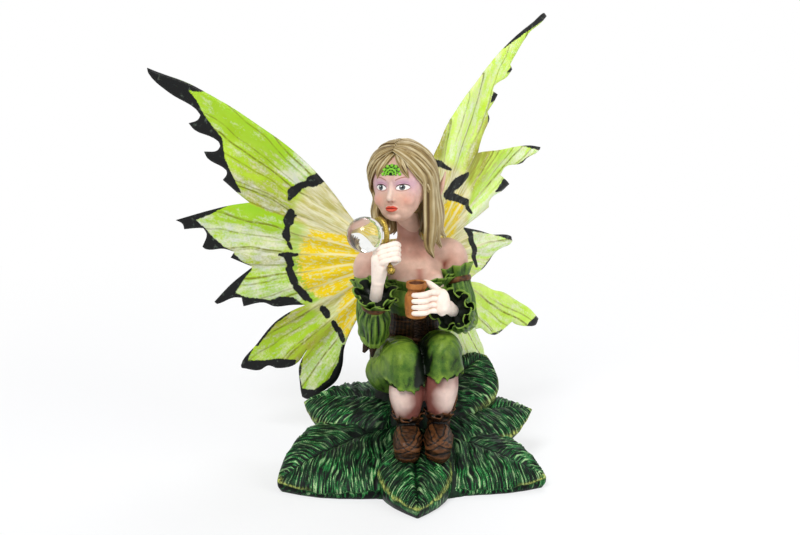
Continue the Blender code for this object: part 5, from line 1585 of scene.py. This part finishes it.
def wand_pieces():
    """The wand of old gold: beaded ring, twisted stem, two collars and a knob."""
    def twist(share, angle):
        return 0.06 * np.cos(3 * angle + 50 * share)

    normal, down = ring_normal(), stem_direction()
    centre = np.asarray(RING_CENTRE)
    stem = [centre + down * (RING_RADIUS + 0.1), centre + down * STEM_LENGTH]
    shapes = [beaded_ring(centre, normal, down), tube(stem, [STEM_RADIUS - 0.03] * 2, 20, 70, ripple=twist)]
    for reach, radius in ((RING_RADIUS + 1.1, 0.85), (STEM_LENGTH - 1.5, 0.9)):
        shapes.append(ellipsoid(centre + down * reach, (radius, radius, radius * 0.7)))
    shapes.append(knob(centre + down * STEM_LENGTH))
    obj = new_piece("gold_wand", merged(shapes), gold_look(), replaces="bubble_wand")
    value(obj, "relief", relief_of(obj, 12, 0.05))


def glass_ball():
    reach = BALL_RADIUS + RING_WIRE + GLUE_GAP
    centre = np.asarray(RING_CENTRE) + ring_normal() * math.sqrt(reach**2 - RING_RADIUS**2)
    mesh = bpy.data.meshes.new("clear_ball")
    bm = bmesh.new()
    bmesh.ops.create_icosphere(bm, subdivisions=5, radius=BALL_RADIUS * MM)
    bmesh.ops.translate(bm, verts=bm.verts, vec=Vector(centre) * MM)
    bm.to_mesh(mesh)
    bm.free()
    mesh.shade_smooth()
    n = Nodes("clear_glass")
    tint = n.mix(n.stretch(n.noise(6.0, 2.0), 0.3, 0.7), rgb(250, 250, 248), rgb(238, 240, 236))
    mesh.materials.append(n.finish(tint, 0.02, Transmission_Weight=1.0, IOR=1.45, Specular_IOR_Level=0.5))
    obj = linked("clear_ball", mesh)
    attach(obj, "root")
    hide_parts("bubble_ball")


def pot_piece():
    """A round pot of fired clay with a shallow hollow at its mouth, painted dark as shade."""
    centre = vec(*POT_CENTRE)
    h, r, n = POT_HEIGHT / 2, POT_RADIUS, POT_NECK_RADIUS
    # Height over the middle and radius, from the foot to the lip, then into the mouth
    outside = (
        (-h, r * 0.7), (-h + 0.8, r * 0.92), (-h * 0.3, r), (h * 0.2, r * 0.97),
        (h * 0.45, n * 0.93), (h * 0.62, n * 0.93), (h * 0.72, n * 1.08), (h, n * 1.06),
    )
    mouth = [(h - 0.05, 2.5), (h - 0.5, 2.3), (h - 1.6, 2.2)]
    rings = []
    for height, radius in [tuple(row) for row in spline(outside, 60)] + mouth:
        level = centre + (0, 0, min(height, h))
        rings.append(circle(level, (1, 0, 0), (0, 1, 0), radius, radius, 96))
    points, faces = loft(rings)
    away = points - centre
    # The mouth's hollow is painted dark, as painted shade
    deep = (away[:, 2] > h - 1.7) & (np.hypot(away[:, 0], away[:, 1]) < 2.4)
    points = points + unit_rows(away * (1, 1, 0)) * (0.07 * noise(points, 1.4, 51))[:, None]
    clay = rgb(200, 138, 76), rgb(172, 108, 52), rgb(92, 50, 22)
    look = wash_and_shade_paint("terracotta_pot_paint", *clay, 1.0, 0.5)
    obj = new_piece("soap_pot_painted", (points, faces), look, replaces="soap_pot")
    value(obj, "relief", np.where(deep, -0.9, 0.5 * noise(arrays(obj)[0], 1.0, 52)))


# Hands
def seat(arm):
    """Where a wrist sits in its cuff."""
    _, _, cuff, _, lower = arm_directions(arm)
    return cuff - lower


def hand_pieces(look):
    right_hand(look)
    left_hand(look)


def right_hand(look):
    """A hand whose four fingers close around the stem of the wand."""
    down = stem_direction()
    right = unit(vec(1, 0, 0) - down * down[0])
    up = np.cross(right, down)
    up = up if up[2] > 0 else -up
    centre = np.asarray(RING_CENTRE)
    grip = STEM_RADIUS + GLUE_GAP + FINGER_RADIUS + 0.15
    shapes = []
    for k in range(4):
        middle = centre + down * (GRIP_START + FINGER_PITCH * k)
        path, radii = [], []
        for angle in (215, 170, 125, 80, 35, -10, -55, -90):
            a = math.radians(angle)
            reach = grip + (2.3 - 0.4 * k) * max(0, math.cos(a)) + 0.5 * max(0, -math.cos(a))
            path.append(middle + right * reach * math.cos(a) + up * reach * math.sin(a))
            knuckle = 0.08 if angle in (125, 35) else -0.04
            radii.append(FINGER_RADIUS - 0.08 + knuckle)
        radii[-1] = FINGER_RADIUS * 0.75
        shapes.append(tube(path, radii, 24, 50))
    wrist = seat(RIGHT_ARM)
    palm_top = centre + down * (GRIP_START + 0.6) - right * (grip + 0.5)
    palm_low = centre + down * (GRIP_START + FINGER_PITCH * 3) - right * (grip + 0.6) - up * 0.6
    palm = between(palm_top, palm_low, 0.5) - right * 0.4
    heel = between(palm_low, wrist, 0.42)
    thumb = [heel + right * 0.6, palm_low + right * 1.2 - up * 1.6, palm_top + right * 1.6 - up * 2.4]
    inner = [palm_low + right * 1.3 + up * 0.4, heel + right * 0.3]
    shapes += [
        tube([palm_top, palm_low, heel], [1.5, 1.85, WRIST_RADIUS], 32),
        tube([palm, heel], [2.0, WRIST_RADIUS + 0.15], 32),
        tube(inner, [1.5, WRIST_RADIUS - 0.1], 32),
        tube([heel, wrist], [WRIST_RADIUS + 0.05, WRIST_RADIUS], 32, 20),
        tube(thumb, [1.1, 1.0, 0.85], 24),
    ]
    finish_hand("right_hand_painted", shapes, look, "right_hand")


def left_hand(look):
    """A hand whose fingers lie along the pot."""
    x, y, z = POT_CENTRE
    reach = POT_RADIUS + GLUE_GAP + FINGER_RADIUS
    radii = [FINGER_RADIUS * 0.8] + [FINGER_RADIUS + more for more in (-0.1, -0.05, -0.1, 0.1)]
    knuckles = vec(x + reach + 1.6, y - 1.6, z)
    shapes = []
    for k in range(4):
        height = z + 3.1 - 1.9 * k
        path = []
        for angle in (-100, -78, -55, -30):
            a = math.radians(angle)
            path.append(vec(x + reach * math.cos(a), y + reach * math.sin(a), height + 0.4 * math.sin(a)))
        path.append(vec(knuckles[0], knuckles[1], height - 0.3))
        shapes.append(tube(path, radii, 24, 44))
    wrist = seat(LEFT_ARM)
    back_of_hand = knuckles + (1.3, 0.6, -0.6)
    heel = between(back_of_hand, wrist, 0.45)
    thumb = [back_of_hand + (-0.6, 0.8, 3.0), vec(x + 3.4, y + 2.6, z + 4.4), vec(x + 1.0, y + 4.3, z + 3.6)]
    shapes += [
        ellipsoid(back_of_hand, (2.45, 2.25, 4.3)),
        tube([back_of_hand - (0, 0, 1.5), heel], [2.3, WRIST_RADIUS + 0.2], 32),
        tube([heel, wrist], [WRIST_RADIUS + 0.05, WRIST_RADIUS], 32, 20),
        tube(thumb, [1.2, 1.05, 0.85], 24),
    ]
    finish_hand("left_hand_painted", shapes, look, "left_hand")


def finish_hand(name, shapes, look, node):
    obj = new_piece(name, merged(shapes), look["pale"], replaces=node)
    fuse(obj)
    relief = relief_of(obj, 12, 0.22)
    paint = blended(PALE_SKIN_AND_HIGHLIGHT, KNUCKLE_SHADE, 0.75 * smoothstep(0.05, -0.7, relief))
    colour(obj, "paint", paint)


# Wings
def wing_axes(hand):
    sweep = math.radians(LEFT_WING_SWEEP if hand > 0 else RIGHT_WING_SWEEP)
    root = vec(hand * WING_ROOT[0], WING_ROOT[1], WING_ROOT[2])
    out = vec(hand * math.cos(sweep), math.sin(sweep), 0)
    return root, out, vec(-hand * math.sin(sweep), math.cos(sweep), 0)


def wing_relief(u, v):
    """How far a wing stands off its flat sheet: pleats from the root, and a bend towards the edge."""
    reach, angle = np.hypot(u, v), np.arctan2(v, u)
    fading = np.clip(reach / 25, 0, 1) * np.clip(1.6 - reach / 80, 0.3, 1)
    pleat = WING_PLEAT * np.sin(WING_PLEATS * angle) * fading
    return pleat + WING_CAMBER * np.maximum(reach - 12, 0) ** 2


def wing_sheet(outline, spacing):
    """A flat sheet of triangles inside an outline."""
    border = []
    for (x0, y0), (x1, y1) in zip(outline, outline[1:] + outline[:1]):
        cuts = max(1, round(math.hypot(x1 - x0, y1 - y0) / (spacing * 0.9)))
        border += [(x0 + (x1 - x0) * k / cuts, y0 + (y1 - y0) * k / cuts) for k in range(cuts)]
    low, high = np.min(border, axis=0), np.max(border, axis=0)
    tree = KDTree(len(border))
    for k, (x, y) in enumerate(border):
        tree.insert((x, y, 0), k)
    tree.balance()
    inner = []
    rows = int((high[1] - low[1]) / (spacing * 0.866))
    for j in range(1, rows + 1):
        for i in range(int((high[0] - low[0]) / spacing) + 1):
            x = low[0] + (i + 0.5 * (j % 2)) * spacing
            y = low[1] + j * spacing * 0.866
            if tree.find((x, y, 0))[2] > spacing * 0.55:
                inner.append((x, y))
    n = len(border)
    edges = [(k, (k + 1) % n) for k in range(n)]
    points, _, faces, *_ = delaunay_2d_cdt([Vector(p) for p in border + inner], edges, [], 1, 1e-4)
    return np.array([tuple(p) for p in points]), [tuple(f) for f in faces]


def rounded(outline, cuts=5):
    """The outline with its long sides softly curved, as cut by hand. Sharp turns stay sharp."""
    p = np.asarray(outline, float)
    n = len(p)
    made = []
    for k in range(n):
        a, b, c, d = p[k - 1], p[k], p[(k + 1) % n], p[(k + 2) % n]
        length = np.linalg.norm(c - b)

        def slope(before, here, after):
            one, two = here - before, after - here
            smooth = smoothstep(0.2, 0.8, unit(one) @ unit(two))
            return unit(unit(one) + unit(two) + 1e-9) * length * smooth + (c - b) * (1 - smooth)

        start, end = slope(a, b, c), slope(b, c, d)
        for j in range(cuts):
            t = j / cuts
            xy = ((2 * t**3 - 3 * t**2 + 1) * b + (t**3 - 2 * t**2 + t) * start
                  + (-2 * t**3 + 3 * t**2) * c + (t**3 - t**2) * end)
            made.append((xy[0], xy[1]))
    return made


def gap_to_lines(flat, rows, closed):
    """Half width minus distance, from each point to a line of (outward, upward, half width) rows."""
    best = np.full(len(flat), -99.0)
    pairs = list(zip(rows, rows[1:])) + ([(rows[-1], rows[0])] if closed else [])
    for (x0, y0, w0), (x1, y1, w1) in pairs:
        dx, dy = x1 - x0, y1 - y0
        x, y = flat[:, 0] - x0, flat[:, 1] - y0
        t = np.clip((x * dx + y * dy) / (dx * dx + dy * dy + 1e-9), 0, 1)
        best = np.maximum(best, w0 + (w1 - w0) * t - np.hypot(x - t * dx, y - t * dy))
    return best


def inside_area(flat, area):
    """Distance into a closed area: positive inside, negative outside."""
    inside = np.zeros(len(flat), bool)
    for (x0, y0), (x1, y1) in zip(area, area[1:] + area[:1]):
        if y0 == y1:
            continue
        crosses = (y0 > flat[:, 1]) != (y1 > flat[:, 1])
        inside ^= crosses & (flat[:, 0] < (x1 - x0) * (flat[:, 1] - y0) / (y1 - y0) + x0)
    away = -gap_to_lines(flat, [(x, y, 0.0) for x, y in area], True)
    return np.where(inside, away, -away)


def by_lobe(lobe, pairs):
    """A number between the named lobes, from (lobe, number) pairs."""
    return np.interp(lobe, *zip(*pairs))


# Shares of the paints outside the cream band and of the lime on it, and how far out the gold goes, by lobe
RIGHT_PAINTS = {
    "green": (
        (0, 0.75), (0.35, 0.35), (0.7, 0.1), (1, 0), (1.02, 0.7), (1.35, 0.3), (2, 0.1), (2.5, 0.5),
        (3, 0.3), (3.5, 0.3), (4, 0.2), (4.5, 0.5), (5, 0.3)),
    "white": (
        (0, 0.12), (0.35, 0.24), (0.6, 0.28), (0.95, 0.5), (1.02, 0.15), (1.25, 0.3), (1.45, 0.62),
        (2, 0.55), (2.1, 0.4), (2.5, 0.55), (3, 0.4), (3.1, 0.25), (3.6, 0.35), (4, 0.2), (4.3, 0.5),
        (5, 0.25)),
    "olive": (
        (0, 0.05), (0.5, 0.25), (0.8, 0.55), (1, 0.9), (1.02, 0), (1.6, 0.25), (1.95, 0.7), (2.05, 0),
        (2.9, 0.1), (3, 0.7), (3.3, 0.3), (3.7, 0.1), (4, 0.6), (4.2, 0.1), (5, 0.1)),
    "gold": (
        (0, 12), (0.7, 16), (0.98, 21), (1.08, 29), (1.4, 31), (2, 33), (2.6, 33), (3, 29),
        (3.3, 21), (3.8, 27), (4.2, 32), (5, 33)),
    "lime": ((0.98, 0), (1.06, 0.7), (1.5, 0.6), (1.9, 0.9), (3, 0.9), (3.1, 0.2), (5, 0.4)),
}
LEFT_PAINTS = {
    "green": (
        (0, 0.3), (0.5, 0.1), (1, 0.1), (1.4, 0.4), (2, 0.3), (2.5, 0.6), (3, 0.2), (4, 0.2), (5, 0.1)),
    "white": (
        (0, 0.2), (0.4, 0.5), (0.8, 0.4), (1, 0.1), (1.5, 0.3), (1.9, 0.7), (2.5, 0.6), (3, 0.3),
        (3.6, 0.4), (4, 0.5), (5, 0.6)),
    "olive": (
        (0, 0.9), (0.1, 0.7), (0.25, 0.1), (0.7, 0.1), (0.95, 0.8), (1.2, 0.6), (1.5, 0.1), (2, 0.1),
        (2.4, 0.3), (3, 0.12), (3.4, 0.05), (4, 0.1), (5, 0.1)),
    "gold": ((0, 10), (0.6, 17), (0.95, 23), (1.35, 23), (1.75, 15), (2.4, 11), (5, 9)),
    "lime": ((0, 0), (5, 0)),
}
# Two limes, the deep green over them and the chalk. The set for the left wing is lighter, as painted light
# shining through it
BACKLIT_FIELDS = (rgb(192, 228, 58), rgb(220, 246, 124), rgb(168, 222, 40), rgb(240, 248, 226))
DEEP_FIELDS = (rgb(166, 200, 26), rgb(190, 218, 60), rgb(118, 184, 18), rgb(214, 218, 208))


def wing_paint(flat, hand):
    """How much of each paint lies on each point. The lobes run from 0 at the top edge to 5 at the bottom."""
    reach, angle = np.hypot(flat[:, 0], flat[:, 1]), np.arctan2(flat[:, 1], flat[:, 0])
    lobes, paints = (LEFT_LOBES, LEFT_PAINTS) if hand > 0 else (RIGHT_LOBES, RIGHT_PAINTS)
    turns = [math.radians(a) for a, _ in lobes][::-1]
    lobe = np.interp(angle, turns, [5, 4, 3, 2, 1, 0])
    past = reach - np.interp(lobe, range(6), [r for _, r in lobes])
    green, white, olive, gold_limit, lime = (
        by_lobe(lobe, paints[key]) for key in ("green", "white", "olive", "gold", "lime"))
    if hand < 0:
        white = white + 0.55 * bell((past - 5) / 5.0) * (lobe < 0.45)
    lime = lime * bell((past + 3) / 3.5)
    outside = smoothstep(-2.0, 2.0, past)
    olive = olive * smoothstep(72, 46, reach) * outside
    near_root = smoothstep(16, 6, reach)
    return {
        "green": green * outside + lime,
        "white": white * outside + 0.25 * lime,
        "olive": np.maximum(olive, 0.6 * near_root),
        "cream": (1 - outside) * (1 - lime),
        "gold": smoothstep(gold_limit + 4, gold_limit - 4, reach) * (1 - outside),
        "reach": reach,
        "fan": angle,
    }


def wing_look(name, pale):
    """Lime and yellow fields with whitish mottling, thin veins and black edges. Pale fields are lighter, as
    painted light shining through the wing.
    """
    n = Nodes(name)
    black, reach, fan, white, green, olive, cream, gold = (
        n.attribute(k) for k in ("black", "reach", "fan", "white", "green", "olive", "cream", "gold"))

    def spread(along_ray):
        polar = n.node("ShaderNodeCombineXYZ")
        n.link(n.times(reach, MM * along_ray), polar.inputs[0])
        n.link(n.times(fan, 32 * MM), polar.inputs[1])
        return polar.outputs[0]

    def over(noise_value, amount, low, high):
        cover = n.stretch(n.plus(noise_value, n.times(amount, 0.42)), low, high)
        return n.times(cover, n.stretch(amount, 0.0, 0.2))

    streak = n.noise(1.3, 4.0, 0.65, spread(0.16))
    dash = n.noise(1.0, 3.0, 0.6, spread(0.5))
    speck = n.noise(0.8, 4.0, 0.7)
    cloud = n.noise(6.0, 3.0)

    # A pale wing gets the lighter fields, which paint the light shining through it
    low, high, deep, chalk = BACKLIT_FIELDS if pale else DEEP_FIELDS
    lime = n.mix(n.stretch(cloud, 0.35, 0.65), low, high)
    base = n.mix(n.times(green, n.stretch(cloud, 0.3, 0.6, 0.4, 1.0)), lime, deep)
    base = n.mix(over(streak, olive, 0.52, 0.8), base, rgb(160, 160, 52))
    mottle = n.mix(n.stretch(cloud, 0.4, 0.6), chalk, rgb(228, 230, 196))
    patchy = n.plus(n.times(speck, 0.35), n.times(streak, 0.65))
    base = n.mix(n.times(over(patchy, white, 0.62, 0.82), 0.88), base, mottle)
    creamy = n.mix(n.stretch(streak, 0.38, 0.62), rgb(192, 184, 98), rgb(230, 226, 192))
    base = n.mix(cream, base, creamy)
    yellow = n.mix(n.stretch(dash, 0.52, 0.6), rgb(232, 202, 4), rgb(224, 218, 146))
    base = n.mix(over(dash, gold, 0.55, 0.68), base, yellow)

    bend = n.plus(fan, n.about_zero(n.noise(16.0, 1.0), 0.07))

    def veins(count, shift, width):
        wave = n.maths("ABSOLUTE", n.maths("SINE", n.plus(n.times(bend, count), shift), 0.0), 0.0)
        return n.stretch(n.times(n.times(wave, reach), 1 / count), width * 0.35, width, 1.0, 0.0)

    near = n.times(veins(17.0, 0.4, 0.5), n.stretch(reach, 40.0, 22.0))
    base = n.mix(n.times(near, 0.85), base, rgb(238, 230, 178))
    far = n.times(veins(17.0, 0.4, 0.4), n.stretch(reach, 24.0, 38.0, 0.0, 0.9))
    fork = n.times(veins(31.0, 1.1, 0.34), n.stretch(reach, 34.0, 44.0, 0.0, 0.6))
    lines = n.maths("MAXIMUM", far, fork)
    lines = n.times(lines, n.stretch(dash, 0.35, 0.55, 0.35, 1.0))
    base = n.mix(lines, base, rgb(116, 120, 26))
    edge = n.plus(black, n.about_zero(speck, 1.1))
    # Black ink with grey-green flecks that paint a sheen on it
    ink_and_sheen = n.mix(n.stretch(dash, 0.6, 0.72), rgb(10, 12, 12), rgb(74, 84, 74))
    base = n.mix(n.stretch(edge, -0.1, 0.14), base, ink_and_sheen)
    n.bump(n.noise(0.5, 4.0), 0.05, 0.5)
    gloss = n.stretch(speck, 0.3, 0.7, 0.36, 0.52)
    return n.finish(base, gloss, Subsurface_Weight=0.1, Subsurface_Scale=0.001)


def wing_piece(hand):
    """A thin pleated wing with raised veins, painted on both faces."""
    left = hand > 0
    outline = rounded(LEFT_WING if left else RIGHT_WING)
    flat, faces = wing_sheet(outline, WING_GRID)
    root, out, normal = wing_axes(hand)
    values = wing_paint(flat, hand)
    black = np.full(len(flat), -9.0)
    for area in (LEFT_BLACK if left else RIGHT_BLACK):
        black = np.maximum(black, inside_area(flat, area))
    for stroke in (LEFT_STROKES if left else RIGHT_STROKES):
        black = np.maximum(black, gap_to_lines(flat, stroke, False))
    values["black"] = black

    across, up = flat.T
    spots = np.column_stack([flat, np.zeros(len(flat))])
    height = wing_relief(across, up) + 0.1 * noise(spots, 3.0, 61)
    middle = root + np.outer(across, out) + np.outer(up, (0, 0, 1)) + np.outer(height, normal)
    reach = values["reach"]
    inset = -gap_to_lines(flat, [(x, y, 0.0) for x, y in outline], True)
    vein = 0.1 * bell(np.sin(17 * values["fan"] + 0.4) * reach / 17 / 0.45) * smoothstep(8, 14, reach)
    half = np.outer(WING_THICKNESS / 2 * (0.45 + 0.55 * smoothstep(0.0, 1.0, inset)) + vein, normal)
    n = len(middle)
    seen = {(a, b) for face in faces for a, b in zip(face, face[1:] + face[:1])}
    skin = [face[::-1] for face in faces] + [tuple(i + n for i in face) for face in faces]
    skin += [(a, b, b + n, a + n) for a, b in seen if (b, a) not in seen]
    shape = np.vstack([middle - half, middle + half]), skin
    node = "left_wing" if left else "right_wing"
    values = {key: np.tile(numbers, 2) for key, numbers in values.items()}
    look = wing_look(node + "_painted_paint", left)
    new_piece(node + "_painted", shape, look, values, replaces=node)


# Studio
def aimed(obj, spot, target):
    obj.location = spot
    obj.rotation_euler = (target - spot).to_track_quat("-Z", "Y").to_euler()
    return obj


def camera():
    target = Vector(CAMERA_TARGET) * MM
    lift = math.radians(CAMERA_ELEVATION)
    data = bpy.data.cameras.new("camera")
    data.lens = CAMERA_LENS
    data.sensor_width = SENSOR_WIDTH
    data.sensor_fit = "HORIZONTAL"
    data.clip_start, data.clip_end = CLIP_RANGE
    spot = target + CAMERA_DISTANCE * MM * Vector((0, -math.cos(lift), math.sin(lift)))
    bpy.context.scene.camera = aimed(linked("camera", data), spot, target)


def lamp(name, spot, size, watts):
    data = bpy.data.lights.new(name, "AREA")
    data.shape = "DISK"
    data.size = size
    data.energy = watts
    aimed(linked(name, data), Vector(spot), Vector(LAMP_AIM))


def seen_rays(tree):
    """1 on what is seen directly, mirrored or through glass, and 0 on the light that falls on things."""
    rays = new_node(tree, "ShaderNodeLightPath")
    bent = new_node(tree, "ShaderNodeMath", operation="ADD")
    seen = new_node(tree, "ShaderNodeMath", operation="ADD", use_clamp=True)
    tree.links.new(rays.outputs["Is Glossy Ray"], bent.inputs[0])
    tree.links.new(rays.outputs["Is Transmission Ray"], bent.inputs[1])
    tree.links.new(rays.outputs["Is Camera Ray"], seen.inputs[0])
    tree.links.new(bent.outputs[0], seen.inputs[1])
    return seen.outputs[0]


def white_room():
    """Soft light from all sides, whose walls look brighter than they shine."""
    world = bpy.data.worlds.new("studio")
    world.use_nodes = True
    tree = world.node_tree
    walls = tree.nodes["Background"]
    walls.inputs["Color"].default_value = (1, 1, 1, 1)
    strength = new_node(tree, "ShaderNodeMapRange")
    strength.inputs["To Min"].default_value = WORLD_LIGHT
    strength.inputs["To Max"].default_value = 1.0
    tree.links.new(seen_rays(tree), strength.inputs["Value"])
    tree.links.new(strength.outputs["Result"], walls.inputs["Strength"])
    bpy.context.scene.world = world


def table_look():
    """White paint that shows shadows near the figure and glows white farther away."""
    look = bpy.data.materials.new("white_table")
    look.use_nodes = True
    tree = look.node_tree
    shader = tree.nodes["Principled BSDF"]
    shader.inputs["Base Color"].default_value = (*FLOOR_COLOUR, 1)
    shader.inputs["Roughness"].default_value = FLOOR_ROUGHNESS
    glow = new_node(tree, "ShaderNodeEmission")
    glow.inputs["Color"].default_value = (1, 1, 1, 1)
    spot = new_node(tree, "ShaderNodeTexCoord")
    away = new_node(tree, "ShaderNodeVectorMath", operation="LENGTH")
    fade = new_node(tree, "ShaderNodeMapRange", interpolation_type="SMOOTHSTEP")
    for key, number in (("From Min", SHADOW_REACH[0]), ("From Max", SHADOW_REACH[1]), ("To Min", FLOOR_GLOW)):
        fade.inputs[key].default_value = number
    share = new_node(tree, "ShaderNodeMath", operation="MULTIPLY")
    mix = new_node(tree, "ShaderNodeMixShader")
    for source, socket in (
        (spot.outputs["Object"], away.inputs[0]),
        (away.outputs["Value"], fade.inputs["Value"]),
        (seen_rays(tree), share.inputs[0]),
        (fade.outputs["Result"], share.inputs[1]),
        (share.outputs[0], mix.inputs[0]),
        (shader.outputs[0], mix.inputs[1]),
        (glow.outputs[0], mix.inputs[2]),
        (mix.outputs[0], tree.nodes["Material Output"].inputs["Surface"]),
    ):
        tree.links.new(source, socket)
    return look


def studio():
    bpy.context.scene.view_settings.view_transform = "Standard"
    white_room()
    for name, (spot, size, watts) in LAMPS.items():
        lamp(name, spot, size, watts)
    mesh = bpy.data.meshes.new("floor")
    bm = bmesh.new()
    bmesh.ops.create_grid(bm, x_segments=1, y_segments=1, size=FLOOR_HALF_WIDTH)
    bm.to_mesh(mesh)
    bm.free()
    mesh.materials.append(table_look())
    floor = linked("floor", mesh)


def build_pieces():
    """Make every piece of the figure."""
    look = main_materials()
    base_pieces(look)
    body_skin(look)
    head_piece(look)
    ear_pieces(look)
    ornament_piece()
    hair_piece(look)
    sleeves(look)
    bodice(look)
    bust_and_collar(look)
    belt(look)
    trousers(look)
    boots(look)
    wand_pieces()
    glass_ball()
    pot_piece()
    hand_pieces(look)
    wing_piece(-1)
    wing_piece(1)


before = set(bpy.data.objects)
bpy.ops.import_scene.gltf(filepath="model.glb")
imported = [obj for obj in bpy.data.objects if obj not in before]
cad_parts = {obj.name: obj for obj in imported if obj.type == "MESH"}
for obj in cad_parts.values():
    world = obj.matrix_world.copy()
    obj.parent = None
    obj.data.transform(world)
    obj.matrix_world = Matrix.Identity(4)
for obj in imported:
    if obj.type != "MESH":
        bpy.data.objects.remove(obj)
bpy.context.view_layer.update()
camera()
studio()
build_pieces()
